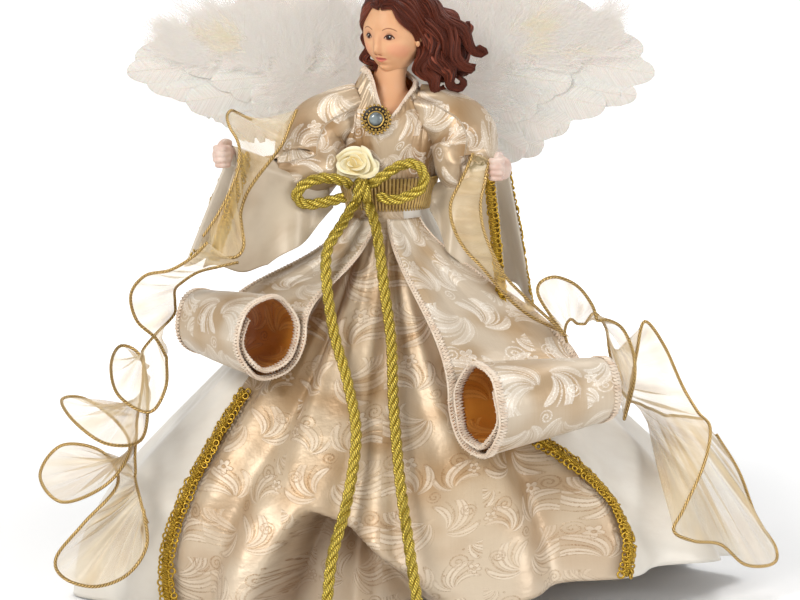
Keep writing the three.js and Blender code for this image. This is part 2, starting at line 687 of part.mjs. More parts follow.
const WINGS = {
  right: {
    side: -1,
    flight: [[-30, 293], [-40, 340], [-70, 352], [-110, 340], [-136, 330], [-154, 320], [-163, 306],
      [-149, 299], [-138, 295], [-126, 288], [-118, 284], [-108, 280], [-98, 270], [-84, 275], [-70, 274],
      [-46, 277]],
    covert: [[-30, 296], [-40, 340], [-74, 350], [-108, 336], [-132, 322], [-128, 308], [-108, 300],
      [-88, 292], [-66, 288], [-44, 286]],
    down: [[-27, 302], [-30, 335], [-42, 355], [-64, 363], [-90, 361], [-114, 349], [-136, 333], [-128, 322],
      [-102, 326], [-76, 330], [-52, 322]],
    card: [[-28, 281], [-32, 322], [-60, 334], [-92, 328], [-84, 298], [-50, 281]],
    wire: [[-70, 8.7, 26], [-40, 8.7, 22], [-13, 8.7, 22], [-6, 5.5, 23], [-1, 0.8, 22]],
  },
  left: {
    side: 1,
    flight: [[30, 290], [40, 335], [72, 350], [112, 346], [140, 338], [157, 325], [167, 306], [155, 290],
      [144, 292], [136, 285], [124, 284], [114, 273], [106, 270], [97, 258], [88, 256], [75, 245], [62, 252],
      [44, 270]],
    covert: [[30, 294], [40, 338], [74, 350], [108, 345], [138, 332], [136, 314], [116, 304], [98, 290],
      [78, 280], [46, 280]],
    down: [[27, 300], [32, 330], [50, 352], [74, 361], [100, 363], [126, 358], [146, 345], [134, 326],
      [104, 330], [76, 330], [50, 318]],
    card: [[28, 281], [32, 322], [60, 334], [92, 328], [84, 298], [50, 281]],
    wire: [[70, 8.7, 26], [40, 8.7, 22], [13, 8.7, 22], [6, 5.5, 23], [1, 0.8, 22]],
  },
};

const wingLayer = (wing, outline, front, thick) => (
  plate(wing[outline].map(([x, z]) => [x - wing.side * HINGE_X, z - HINGE_Z]), front, thick)
);

function wingWire({ wire }) {
  const lower = wire.map(([x, y, z]) => [x, y, -z + (Math.abs(x) > 10 ? 26 : 0)]).reverse();
  const pin = [17, 8, 0, -8, -17].map((z) => [0, 0, z]);
  return strand(points([...wire, ...pin, ...lower]), WING_WIRE_R, 6, 36);
}

const bracketBack = torsoPoint(180, 268, bodiceOut + GAP).y;
const HINGE_Y = bracketBack + BRACKET_THICK + BARREL_R - 0.5;
const bracketPlate = plate([[-15, 262], [15, 262], [15, 296], [-15, 296]], bracketBack, BRACKET_THICK);
const barrel = (x, radius, half) => post(radius, HINGE_Z - half, HINGE_Z + half, 14).translate(x, HINGE_Y, 0);
const wingBracket = cut(
  join(bracketPlate, barrel(-HINGE_X, BARREL_R, BARREL_HALF), barrel(HINGE_X, BARREL_R, BARREL_HALF)),
  barrel(-HINGE_X, WING_WIRE_R + 2 * GAP, BARREL_HALF + 5),
  barrel(HINGE_X, WING_WIRE_R + 2 * GAP, BARREL_HALF + 5),
);

// Materials

const finish = (color, roughness, metalness = 0) => (
  new THREE.MeshStandardMaterial({ color, roughness, metalness })
);
const paper = finish(0xd9cdb8, 0.9);
const timber = finish(0xc9a878, 0.8);
const foam = finish(0xf4f2ee, 0.9);
const skin = finish(0xefc3a0, 0.5);
const auburn = finish(0x5a2c20, 0.45);
const brocade = finish(0xdcc6a6, 0.45);
const satin = finish(0xefe8dc, 0.35);
const organza = finish(0xead9b4, 0.4);
const gold = finish(0xb8962e, 0.4, 0.6);
const goldCord = finish(0xb7a436, 0.45, 0.3);
const stitch = finish(0xe6cdb8, 0.6);
const cream = finish(0xf6efcf, 0.5);
const crystal = finish(0x9aa3a8, 0.1);
const feather = finish(0xf5f2ec, 0.8);
const steel = finish(0x8d8f92, 0.4, 0.8);

// Assembly

const angel = new THREE.Group();
const figure = new THREE.Group();
figure.position.x = AXIS_X;
angel.add(figure);

function piece(name, geometry, material, parent = figure) {
  const mesh = new THREE.Mesh(geometry, material);
  mesh.name = name;
  parent.add(mesh);
}

piece('cone', cone, paper);
piece('cone_plug', conePlug, foam);
piece('spine_dowel', dowel, timber);
piece('torso_core', torsoCore, foam);
piece('bust', bust, skin);
piece('hair', hair, auburn);
piece('shoulder_wire', shoulderWire, steel);
piece('bodice', bodice, brocade);
piece('collar', collar, stitch);
piece('waistband', waistband, gold);
piece('brooch_setting', broochSetting, gold);
piece('brooch_stone', broochStone, crystal);
piece('rose', roseShape(), cream);
piece('bow_knot', knot, goldCord);
for (const name of Object.keys(CORDS)) piece(name, cordPiece(name), goldCord);
piece('right_tail_knot', endKnot('right_tail'), goldCord);
piece('left_tail_knot', endKnot('left_tail'), goldCord);

const backSeams = [[-BACK_SEAM, -BACK_SEAM], [BACK_SEAM, BACK_SEAM]];
piece('skirt_front', skirtPanel(RIGHT_SEAM, LEFT_SEAM, 22), brocade);
piece('skirt_right', skirtPanel(backSeams[0], RIGHT_SEAM, 15), satin);
piece('skirt_left', skirtPanel(LEFT_SEAM, backSeams[1], 18), satin);
piece('skirt_back', skirtPanel(backSeams[1], [360 - BACK_SEAM, 360 - BACK_SEAM], 22), satin);
piece('skirt_right_braid', skirtBraid(RIGHT_SEAM, 1, 0.46), gold);
piece('skirt_left_braid', skirtBraid(LEFT_SEAM, -1, 0.62), gold);

for (const side of ['right', 'left']) {
  piece(`${side}_drape`, drape(side), brocade);
  piece(`${side}_drape_edging`, drapeEdging(side), stitch);
  piece(`${side}_ribbon_fall`, fall(side), organza);
}
piece('wing_bracket', wingBracket, paper);

for (const [side, arm] of Object.entries(ARMS)) {
  piece(`${side}_arm_wire`, armWire(arm), steel);
  piece(`${side}_arm_padding`, armPadding(arm), foam);
  piece(`${side}_hand`, hand(arm), skin);
  piece(`${side}_sleeve`, sleeve(arm), brocade);
  piece(`${side}_bell_sleeve`, bellSleeve(arm), satin);
  piece(`${side}_cuff_braid`, cuffBraid(arm), gold);
  piece(`${side}_ribbon_wrap`, ribbonWrap(arm), organza);
}

for (const [side, wing] of Object.entries(WINGS)) {
  const hinge = new THREE.Group();
  hinge.position.set(wing.side * HINGE_X, HINGE_Y, HINGE_Z);
  hinge.rotation.z = rad(wing.side * WING_SWEEP);
  figure.add(hinge);
  piece(`${side}_wing_wire`, wingWire(wing), steel, hinge);
  piece(`${side}_wing_card`, wingLayer(wing, 'card', 5.9, 1.2), paper, hinge);
  piece(`${side}_flight_feathers`, wingLayer(wing, 'flight', 3.4, 2), feather, hinge);
  piece(`${side}_covert_feathers`, wingLayer(wing, 'covert', 1, 2), feather, hinge);
  piece(`${side}_wing_down`, wingLayer(wing, 'down', -4, 4.6), feather, hinge);
}

export default angel;
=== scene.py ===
"""The angel's looks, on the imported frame.

Lengths are millimetres in the figure's own frame, whose axis is AXIS_X from the row's origin; mesh() turns
them into metres in the row frame. Right and left are the angel's own.
"""

import math

import bpy
import numpy as np
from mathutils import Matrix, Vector

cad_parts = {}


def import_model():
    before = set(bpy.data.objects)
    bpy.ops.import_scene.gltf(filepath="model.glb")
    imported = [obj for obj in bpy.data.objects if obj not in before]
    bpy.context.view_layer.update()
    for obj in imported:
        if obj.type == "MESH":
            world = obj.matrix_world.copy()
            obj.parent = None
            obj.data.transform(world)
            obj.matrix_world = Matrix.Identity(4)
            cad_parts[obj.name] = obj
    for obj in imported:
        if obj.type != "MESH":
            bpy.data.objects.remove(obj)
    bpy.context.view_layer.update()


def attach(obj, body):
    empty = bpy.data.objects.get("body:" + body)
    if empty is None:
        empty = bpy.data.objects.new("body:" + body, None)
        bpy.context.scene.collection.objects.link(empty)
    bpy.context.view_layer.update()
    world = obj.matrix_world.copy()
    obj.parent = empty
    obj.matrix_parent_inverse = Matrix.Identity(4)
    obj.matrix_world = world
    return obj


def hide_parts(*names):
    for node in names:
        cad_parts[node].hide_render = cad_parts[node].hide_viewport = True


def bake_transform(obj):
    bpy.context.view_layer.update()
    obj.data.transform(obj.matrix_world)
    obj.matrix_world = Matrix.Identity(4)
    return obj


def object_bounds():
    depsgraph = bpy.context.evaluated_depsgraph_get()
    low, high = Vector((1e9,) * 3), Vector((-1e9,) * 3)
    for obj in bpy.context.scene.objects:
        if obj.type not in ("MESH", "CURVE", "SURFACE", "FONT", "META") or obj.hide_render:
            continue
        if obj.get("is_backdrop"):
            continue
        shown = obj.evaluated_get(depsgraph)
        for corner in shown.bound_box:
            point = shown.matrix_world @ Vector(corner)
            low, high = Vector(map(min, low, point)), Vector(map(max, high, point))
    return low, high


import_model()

scene = bpy.context.scene
AXIS_X = -14.0
MM = 0.001
rng = np.random.default_rng(11)


# Points, lines and surfaces

def world(p):
    return (np.asarray(p, float) + (AXIS_X, 0.0, 0.0)) * MM


def unit(v):
    v = np.asarray(v, float)
    return v / np.maximum(np.linalg.norm(v, axis=-1, keepdims=True), 1e-9)


def lerp(a, b, t):
    return a + (b - a) * t


def smooth(a, b, x):
    t = np.clip((np.asarray(x, float) - a) / (b - a), 0, 1)
    return t * t * (3 - 2 * t)


def bell(x, y, wx, wy):
    return np.exp(-((x / wx) ** 2) - (y / wy) ** 2)


def resample(line, count):
    d = np.r_[0, np.cumsum(np.linalg.norm(np.diff(line, axis=0), axis=1))]
    s = np.linspace(0, d[-1], count)
    return np.stack([np.interp(s, d, line[:, k]) for k in range(line.shape[1])], 1)


def length(line):
    return float(np.linalg.norm(np.diff(line, axis=0), axis=1).sum())


def curve(points, step=1.5, count=0):
    """A smooth line through the points, evenly spaced."""
    p = np.asarray(points, float)
    e = np.vstack([2 * p[0] - p[1], p, 2 * p[-1] - p[-2]])
    t = np.linspace(0, 1, 20, endpoint=False)[:, None]
    out = []
    for i in range(len(p) - 1):
        a, b, c, d = e[i : i + 4]
        out.append(
            0.5 * (2 * b + (c - a) * t + (2 * a - 5 * b + 4 * c - d) * t * t + (3 * b - a - 3 * c + d) * t**3)
        )
    line = np.vstack(out + [p[-1:]])
    return resample(line, count or max(3, int(length(line) / step) + 1))


def frames(line, hint=(0.3, -1.0, 0.2)):
    t = unit(np.gradient(line, axis=0))
    n = np.zeros_like(line)
    last = np.asarray(hint, float)
    for i, d in enumerate(t):
        last = last - d * last.dot(d)
        last = last / max(np.linalg.norm(last), 1e-9)
        n[i] = last
    return t, n, np.cross(t, n)


def grid_faces(cols, rows, wrap=False):
    """Quads of a grid with this many columns (fast) and rows of points."""
    i = np.arange(cols if wrap else cols - 1)
    j = np.arange(rows - 1)[:, None]
    a = j * cols + i
    b = j * cols + (i + 1) % cols
    return np.stack([a, b, b + cols, a + cols], -1).reshape(-1, 4).tolist()


# How far a tube's pattern runs once round it
TUBE_ROUND = 10.0


class Soup:
    """Points and faces that become one mesh; each part may name its own material."""

    def __init__(self):
        self.v, self.f, self.uv, self.m = [], [], [], []
        self.n = 0

    def add(self, v, f, uv=None, mat=0):
        v = np.asarray(v, float)
        self.v.append(v)
        self.uv.append(np.zeros((len(v), 2)) if uv is None else np.asarray(uv, float))
        self.f += [[k + self.n for k in q] for q in f]
        self.m += [mat] * len(f)
        self.n += len(v)
        return self

    def points(self):
        return np.vstack(self.v)

    def tube(
        self, line, radius, sides=8, mat=0, hint=(0.3, -1.0, 0.2), flat=1.0, ridges=0, depth=0.0, turn=0.0,
    ):
        """A closed tube. flat squashes it across; ridges and depth groove it along its length."""
        _, n, b = frames(line, hint)
        k = len(line)
        r = np.broadcast_to(np.asarray(radius, float), (k,))[:, None]
        a = np.linspace(0, 2 * np.pi, sides, endpoint=False)[None, :]
        a = a + np.linspace(0, turn, k)[:, None]
        w = r * (1 + depth * np.cos(ridges * (a - np.linspace(0, turn, k)[:, None])) if ridges else 1.0)
        p = (
            line[:, None] + n[:, None] * (w * np.cos(a) * flat)[..., None]
            + b[:, None] * (w * np.sin(a))[..., None]
        )
        run = np.r_[0, np.cumsum(np.linalg.norm(np.diff(line, axis=0), axis=1))]
        uv = np.stack(np.broadcast_arrays(np.arange(sides)[None, :] / sides * TUBE_ROUND, run[:, None]), -1)
        f = (
            grid_faces(sides, k, True)
            + [list(range(sides))[::-1], [(k - 1) * sides + i for i in range(sides)]]
        )
        return self.add(p.reshape(-1, 3), f, uv.reshape(-1, 2), mat)

    def ball(self, at, half, cols=16, rows=10, mat=0):
        a = np.linspace(0, 2 * np.pi, cols, endpoint=False)
        e = np.linspace(-np.pi / 2, np.pi / 2, rows + 1)
        a, e = np.meshgrid(a, e)
        p = np.stack([np.cos(a) * np.cos(e), np.sin(a) * np.cos(e), np.sin(e)], -1).reshape(-1, 3)
        return self.add(p * np.asarray(half) + np.asarray(at), grid_faces(cols, rows + 1, True), None, mat)

    def ring(self, at, axis, big, small, cols=14, rows=6, mat=0, squash=1.0, up=(0, 0, 1)):
        z = unit(axis)
        x = unit(np.cross(up, z)) if abs(np.dot(unit(up), z)) < 0.95 else unit(np.cross((1, 0, 0), z))
        y = np.cross(z, x)
        a, b = np.meshgrid(
            np.linspace(0, 2 * np.pi, cols, endpoint=False),
            np.linspace(0, 2 * np.pi, rows, endpoint=False),
        )
        w = big + small * np.cos(b)
        p = np.asarray(at) + (w * np.cos(a))[..., None] * x * squash + (w * np.sin(a))[..., None] * y
        p = p + (small * np.sin(b))[..., None] * z
        i, j = np.meshgrid(np.arange(cols), np.arange(rows))
        f = np.stack(
            [
                j * cols + i, j * cols + (i + 1) % cols, (j + 1) % rows * cols + (i + 1) % cols,
                (j + 1) % rows * cols + i,
            ],
            -1,
        )
        return self.add(p.reshape(-1, 3), f.reshape(-1, 4).tolist(), None, mat)

    def sheet(self, point, cols, rows, size, mat=0, wrap=False, flip=False):
        """A surface point(u, v) on a grid; size is the cloth's width and length for its pattern."""
        u = np.linspace(0, 1, cols + 1)[: cols if wrap else cols + 1]
        u, v = np.meshgrid(u, np.linspace(0, 1, rows + 1))
        p = point(u.ravel(), v.ravel())
        uv = (
            size(u.ravel(), v.ravel()) if callable(size)
            else np.stack([u.ravel() * size[0], v.ravel() * size[1]], -1)
        )
        f = grid_faces(u.shape[1], rows + 1, wrap)
        return self.add(p, [q[::-1] for q in f] if flip else f, uv, mat)


def mesh(name, soup, materials, body="figure", replaces=(), thick=0.0, offset=0.0, inner=0):
    """The piece: a mesh in the row frame, its pattern coordinates, thickness and body."""
    m = bpy.data.meshes.new(name)
    m.from_pydata(world(soup.points()).tolist(), [], soup.f)
    m.update()
    layer = m.uv_layers.new(name="cloth")
    k = np.zeros(len(m.loops), np.int32)
    m.loops.foreach_get("vertex_index", k)
    layer.data.foreach_set("uv", np.vstack(soup.uv)[k].ravel())
    m.polygons.foreach_set("material_index", soup.m)
    m.polygons.foreach_set("use_smooth", [True] * len(m.polygons))
    o = bpy.data.objects.new(name, m)
    scene.collection.objects.link(o)
    for mat in materials if isinstance(materials, (list, tuple)) else [materials]:
        m.materials.append(mat)
    if thick:
        s = o.modifiers.new("thickness", "SOLIDIFY")
        s.thickness = thick * MM
        s.offset = offset
        s.material_offset = inner
    if body:
        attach(o, body)
    if replaces:
        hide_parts(*replaces)
    return o


def remeshed(soup, voxel, rounds):
    """The parts of a soup grown together into one smooth skin."""
    m = bpy.data.meshes.new("blank")
    m.from_pydata(soup.points().tolist(), [], soup.f)
    o = bpy.data.objects.new("blank", m)
    scene.collection.objects.link(o)
    r = o.modifiers.new("grow", "REMESH")
    r.mode = "VOXEL"
    r.voxel_size = voxel
    s = o.modifiers.new("soften", "SMOOTH")
    s.iterations = rounds
    s.factor = 0.5
    e = o.evaluated_get(bpy.context.evaluated_depsgraph_get()).to_mesh()
    out = Soup().add([v.co[:] for v in e.vertices], [list(p.vertices) for p in e.polygons])
    bpy.data.objects.remove(o)
    bpy.data.meshes.remove(m)
    return out


# Materials

def lin(r, g, b):
    return (
        tuple(
            (c / 12.92 if c <= 0.04045 else ((c + 0.055) / 1.055) ** 2.4) for c in (r / 255, g / 255, b / 255)
        )
        + (1.0,)
    )


class Num:
    """A number in a shader, with arithmetic."""

    def __init__(self, tree, socket):
        self.tree, self.socket = tree, socket

    def op(self, kind, *others):
        n = self.tree.nodes.new("ShaderNodeMath")
        n.operation = kind
        for i, v in enumerate((self,) + others):
            if isinstance(v, Num):
                self.tree.links.new(v.socket, n.inputs[i])
            else:
                n.inputs[i].default_value = v
        return Num(self.tree, n.outputs[0])

    def __add__(self, o):
        return self.op("ADD", o)

    def __sub__(self, o):
        return self.op("SUBTRACT", o)

    def __mul__(self, o):
        return self.op("MULTIPLY", o)

    def __truediv__(self, o):
        return self.op("DIVIDE", o)

    def sin(self):
        return self.op("SINE")

    def cos(self):
        return self.op("COSINE")

    def abs(self):
        return self.op("ABSOLUTE")

    def floor(self):
        return self.op("FLOOR")

    def fract(self):
        return self.op("FRACT")

    def most(self, o):
        return self.op("MAXIMUM", o)

    def step(self, a, b):
        """0 at a, 1 at b, smooth between."""
        n = self.tree.nodes.new("ShaderNodeMapRange")
        n.interpolation_type = "SMOOTHSTEP"
        lo, hi, out = (a, b, (0.0, 1.0)) if a < b else (b, a, (1.0, 0.0))
        n.inputs["From Min"].default_value = lo
        n.inputs["From Max"].default_value = hi
        n.inputs["To Min"].default_value, n.inputs["To Max"].default_value = out
        self.tree.links.new(self.socket, n.inputs["Value"])
        return Num(self.tree, n.outputs["Result"])

    def band(self, width, soft=0.5):
        """1 where the number is nearly nothing."""
        return self.abs().step(width + width * soft, width - width * soft)


class Mat:
    """A Principled material that is built step by step."""

    def __init__(self, name, rough=0.5, metal=0.0, **inputs):
        self.mat = bpy.data.materials.new(name)
        self.mat.use_nodes = True
        self.tree = self.mat.node_tree
        self.bsdf = self.tree.nodes["Principled BSDF"]
        self.put("Roughness", rough)
        self.put("Metallic", metal)
        for k, v in inputs.items():
            self.put(k.replace("_", " "), v)

    def put(self, name, value):
        s = self.bsdf.inputs[name]
        if isinstance(value, Num):
            self.tree.links.new(value.socket, s)
        elif isinstance(value, bpy.types.NodeSocket):
            self.tree.links.new(value, s)
        else:
            s.default_value = value

    def coords(self, kind="UV", attribute=None):
        if attribute:
            n = self.tree.nodes.new("ShaderNodeAttribute")
            n.attribute_name = attribute
            s = n.outputs["Vector"]
        else:
            s = self.tree.nodes.new("ShaderNodeTexCoord").outputs[kind]
        n = self.tree.nodes.new("ShaderNodeSeparateXYZ")
        self.tree.links.new(s, n.inputs[0])
        return s, Num(self.tree, n.outputs[0]), Num(self.tree, n.outputs[1]), Num(self.tree, n.outputs[2])

    def join(self, x, y, z=0.0):
        n = self.tree.nodes.new("ShaderNodeCombineXYZ")
        for i, v in enumerate((x, y, z)):
            if isinstance(v, Num):
                self.tree.links.new(v.socket, n.inputs[i])
            else:
                n.inputs[i].default_value = v
        return n.outputs[0]

    def noise(self, vector, scale, detail=3.0, rough=0.5):
        n = self.tree.nodes.new("ShaderNodeTexNoise")
        n.inputs["Scale"].default_value = scale
        n.inputs["Detail"].default_value = detail
        n.inputs["Roughness"].default_value = rough
        self.tree.links.new(vector, n.inputs["Vector"])
        return Num(self.tree, n.outputs[0])

    def mix(self, a, b, share):
        n = self.tree.nodes.new("ShaderNodeMix")
        n.data_type = "RGBA"
        for i, v in ((6, a), (7, b)):
            if isinstance(v, bpy.types.NodeSocket):
                self.tree.links.new(v, n.inputs[i])
            else:
                n.inputs[i].default_value = v
        if isinstance(share, Num):
            self.tree.links.new(share.socket, n.inputs[0])
        else:
            n.inputs[0].default_value = share
        return n.outputs[2]

    def bump(self, height, deep, strength=1.0):
        """Relief; deep is how many millimetres one unit of height stands for."""
        n = self.tree.nodes.new("ShaderNodeBump")
        n.inputs["Strength"].default_value = strength
        n.inputs["Distance"].default_value = deep * MM
        self.tree.links.new(height.socket, n.inputs["Height"])
        self.tree.links.new(n.outputs[0], self.bsdf.inputs["Normal"])


# One repeat of the brocade, in millimetres of cloth, and where its motifs lie
REPEAT_WIDE, REPEAT_HIGH = 50.0, 66.0
PALMETTES = (
    (-2.0, -22.0, -0.35, 31.0, 1.15, 8.0, 0.045),
    (6.0, -14.0, 1.5, 25.0, 1.1, 7.0, -0.06),
    (-9.0, 26.0, 2.6, 26.0, 1.2, 7.0, -0.055),
    (12.0, 26.0, -2.2, 21.0, 1.1, 6.0, 0.07),
    (-15.0, -24.0, -1.7, 19.0, 1.0, 6.0, 0.07),
    (20.0, -4.0, 0.3, 18.0, 1.1, 6.0, -0.08),
)
CURLS = (
    (13.0, 8.0, 0.5, 6.0, 2.9),
    (-20.0, 3.0, 2.2, 5.4, 2.6),
    (18.0, -25.0, 1.0, 4.6, 2.4),
    (1.0, 29.0, 4.0, 4.0, 2.2),
)
FLOWERS = ((-12.0, 6.0, 4.6), (21.0, 14.0, 3.4))
DOTS = (
    (-18.0, -12.0), (11.0, -25.0), (-7.0, -4.0), (-22.0, 22.0),
    (6.0, 15.5), (23.0, 6.0), (-3.0, 17.0), (16.0, 0.0),
)
# Painted shade for the hollow under the front panel's arch
PAINTED_FOLD_SHADE = lin(112, 78, 42)


def brocade(name, ground, shade, thread, line, size=1.0, metal=0.14, hem=None):
    """Woven palmettes, curls, flowers and dots in broken thread; hem is a painted lighter tone towards the
    floor, and also turns on the painted shade under the front arch.
    """
    m = Mat(name, 0.36, 0.0, Sheen_Weight=0.1, Sheen_Roughness=0.4, Anisotropic=0.4)
    uv, x, y, _ = m.coords()
    wide, high = REPEAT_WIDE * size, REPEAT_HIGH * size
    odd = ((x / wide).floor() * 0.5).fract() * 2.0
    yy = y + odd * (high * 0.5)
    lx = ((x / wide).fract() - 0.5) * (odd * -2.0 + 1.0) * REPEAT_WIDE
    ly = ((yy / high).fract() - 0.5) * REPEAT_HIGH

    def polar(cx, cy, turn=0.0):
        a = lx - cx
        b = ly - cy
        c, s = math.cos(turn), math.sin(turn)
        return (a * a + b * b).op("SQRT"), (a * c - b * s).op("ARCTAN2", a * s + b * c)

    def swirl(cx, cy, turn, reach, half, fingers, bend):
        """A palmette whose rounded fingers all bend one way: its fingers and their outlines."""
        r, th = polar(cx, cy, turn)
        th = th + r * bend
        far = (th * (1.3 / half)).cos() * (reach * 0.45) + reach * 0.55
        t = r / far
        ridge = (th * fingers).cos() - t * t * t * t * 1.9 + 0.3
        near = (r - 2.0).step(-0.4, 0.8) * th.abs().step(half + 0.03, half - 0.03)
        barb = ((th * (fingers * 2.0)).cos() - t * t * 0.55).step(0.35, 0.8)
        return ridge.step(-0.15, 0.25) * near, (ridge.band(0.2) * 0.8).most(barb * t.step(1.02, 0.9)) * near

    def curl(cx, cy, turn, big, pitch):
        r, th = polar(cx, cy, turn)
        ring = (th / (2 * math.pi) + r / pitch + 0.5).fract() - 0.5
        return (ring * pitch).band(0.5) * r.step(big, big - 0.5)

    fill, lines = swirl(*PALMETTES[0])
    for place in PALMETTES[1:]:
        shape, outline = swirl(*place)
        lines, fill = lines.most(outline), fill.most(shape)
    for place in CURLS:
        lines = lines.most(curl(*place))
    for cx, cy, big in FLOWERS:
        r, th = polar(cx, cy)
        edge = r - (th * 2.5).cos().abs() * big * 0.55 - big * 0.5
        fill = fill.most(edge.step(0.3, -0.3) * r.step(0.9, 1.3))
        lines = lines.most(edge.band(0.4)).most((r - 1.1).band(0.35))
    for cx, cy in DOTS:
        r, _ = polar(cx, cy)
        lines = lines.most(r.step(0.9, 0.5))
    broken = m.noise(uv, 1.5, 2.0, 0.7).step(0.4, 0.6)
    thread_sheen = m.noise(uv, 0.045, 3.0).step(0.3, 0.65)
    cloud = m.noise(uv, 0.028, 1.0)
    streak = m.noise(m.join(x * 1.6, y * 0.03), 1.0, 2.0)
    lines = lines * (broken * 0.85 + 0.15)
    # Soft clouds and lengthwise streaks of the darker tone at random places: painted reflections of the
    # satin's sheen.
    base = m.mix(ground, shade, cloud.step(0.38, 0.66) * 0.8 + streak * 0.2)
    # Painted light: the cloth turns paler towards the floor.
    if hem:
        base = m.mix(base, hem, m.coords("Object")[3].step(0.1, 0.0) * 0.55)
    # Painted sheen: in large soft patches at random places the threads show more strongly.
    base = m.mix(base, thread, fill * (thread_sheen * 0.45 + 0.3) * (broken * 0.35 + 0.65))
    base = m.mix(base, line, lines * (thread_sheen * 0.4 + 0.4))
    # Painted shade where the front panel folds under its arch.
    if hem:
        base = m.mix(base, PAINTED_FOLD_SHADE, m.coords(attribute="fold")[1] * 0.7)
    m.put("Base Color", base)
    m.put("Metallic", lines * 0.3 + metal)
    m.put("Roughness", fill * 0.1 - lines * 0.06 + 0.37)
    weave = ((x + y) * 9.0).sin() * 0.02
    m.bump(lines * 0.35 + fill * 0.3 + weave + m.noise(uv, 0.07, 4.0) * 5.0, 0.3, 0.6)
    return m.mat


def cloth(name, colour, shade, rough=0.38, sheen=0.2, metal=0.0, crease=0.5):
    m = Mat(name, rough, metal, Sheen_Weight=sheen)
    uv, x, y, _ = m.coords()
    m.put("Base Color", m.mix(colour, shade, m.noise(uv, 0.05, 3.0).step(0.35, 0.8)))
    m.bump(m.noise(uv, 0.12, 4.0) + ((x * 7.0).sin() + (y * 7.0).sin()) * 0.012, crease, 0.5)
    return m.mat


def organza(name, colour, dark, alpha):
    m = Mat(name, 0.4, 0.05, Sheen_Weight=0.3)
    _, x, y, _ = m.coords()
    threads = (x * 12.0).sin() * (y * 12.0).sin()
    veil = m.noise(m.join(x * 0.05, y * 0.03), 1.0, 1.0)
    m.put("Base Color", m.mix(colour, dark, veil.step(0.2, 0.9)))
    pleat = m.noise(m.join(x * 0.02, y * 0.07), 1.0, 1.0).step(0.4, 0.75)
    m.put("Alpha", threads * 0.04 + veil * 0.1 + pleat * 0.25 + (alpha - 0.14))
    return m.mat


def metal_thread(name, light, dark, twist=1.0, rough=0.36, pitch=1.1, yarn=0.75):
    """Yarn of metallic thread: fine lines wind round each strand."""
    m = Mat(name, rough, 0.72)
    uv, x, y, _ = m.coords()
    lines = (x * (math.pi * 2 / TUBE_ROUND * 4) + y * (2 * math.pi / pitch) * twist).sin()
    m.put(
        "Base Color",
        m.mix(
            dark, light, lines.step(-0.7, 0.7) * yarn + m.noise(uv, 0.6, 2.0) * 0.25 + (0.75 - yarn) * 0.6,
        ),
    )
    m.bump(lines, 0.22, 0.8)
    return m.mat


PLEATS, BAND_RUN = 80, 190


def band_material():
    """The waistband's pleats, with painted shade in the valleys between the ridges."""
    m = Mat("waistband_gold", 0.36, 0.25, Sheen_Weight=0.2)
    v, x, _, _ = m.coords()
    # Painted shade in each pleat's valley.
    base = m.mix(
        lin(88, 58, 16), lin(198, 164, 92), (x * (math.pi * PLEATS / BAND_RUN)).sin().abs().step(0.1, 0.75),
    )
    m.put("Base Color", m.mix(base, lin(222, 196, 130), m.noise(v, 0.4, 2.0).step(0.5, 0.75) * 0.5))
    m.bump(m.noise(v, 2.0, 2.0), 0.2, 0.4)
    return m.mat


def rose_material():
    """Cream ribbon with painted shade deep in each petal and painted light towards its lip."""
    m = Mat("rose_ribbon_cream", 0.36, 0.0, Sheen_Weight=0.2)
    _, x, y, _ = m.coords()
    # Painted shade low in each petal, painted light at its lip.
    base = m.mix(lin(218, 192, 126), lin(245, 232, 188), y.step(1.0, 9.0))
    m.put("Base Color", m.mix(base, lin(248, 240, 208), y.step(10.5, 13.5)))
    m.bump(m.noise(m.join(x * 0.4, y * 0.08), 1.0, 3.0), 0.25, 0.5)
    return m.mat


IVORY = brocade(
    "brocade_ivory", lin(198, 177, 148), lin(166, 131, 88), lin(226, 211, 190), lin(134, 95, 48), 1.1, 0.2,
    hem=lin(228, 214, 194),
)
SILVER = brocade(
    "brocade_silver", lin(206, 191, 170), lin(174, 145, 108), lin(230, 220, 206), lin(243, 238, 230), 0.95,
    0.24,
)
GOWN = brocade(
    "brocade_gown", lin(190, 169, 141), lin(150, 113, 68), lin(222, 209, 191), lin(244, 238, 228), 0.85,
    0.3,
)
# The brocade's amber reverse, made deep enough to stand partly for painted shade inside the scrolls.
AMBER = brocade(
    "brocade_inside", lin(208, 138, 54), lin(172, 102, 32), lin(218, 158, 82), lin(146, 88, 32), 1.0, 0.1,
)
SATIN = cloth("satin_ivory", lin(233, 228, 218), lin(225, 218, 207), 0.4, 0.15, 0.05)
SATIN_BACK = cloth("satin_lining", lin(232, 222, 206), lin(222, 210, 192), 0.5, 0.2)
SHEER = organza("organza_beige", lin(232, 214, 178), lin(206, 172, 114), 0.47)
WARM_SHEER = organza("organza_doubled", lin(228, 203, 150), lin(198, 158, 92), 0.42)
WIRE_GOLD = metal_thread("ribbon_wire_gold", lin(232, 196, 126), lin(82, 52, 16), 1.0, 0.3, 2.0)
ROPE = metal_thread("cord_gold", lin(226, 200, 86), lin(64, 46, 2), 1.0, 0.3, 1.5, 0.45)
GIMP = metal_thread("gimp_gold", lin(226, 184, 62), lin(74, 48, 4), 1.0, 0.28, 0.9)
BAND = band_material()
# A darker copy of the ivory satin for the bell sleeves: painted shade.
SHADED_BELL_SATIN = cloth("satin_sleeve", lin(200, 184, 160), lin(182, 162, 135), 0.38, 0.2, 0.05)
SERGE = cloth("overlock_thread", lin(242, 226, 206), lin(216, 186, 158), 0.6, 0.3, 0.0, 0.2)
CREAM = rose_material()
OLD_GOLD = metal_thread("brooch_gold", lin(214, 178, 98), lin(92, 66, 24), 0.3, 0.3, 3.0)
RECESS = cloth("brooch_dark", lin(34, 26, 16), lin(20, 15, 10), 0.4, 0.0, 0.4, 0.2)
FACE_LOW = 2.2
SKIN_DEPTHS, SKIN_SCALE = (1.0, 0.4, 0.25), 0.002


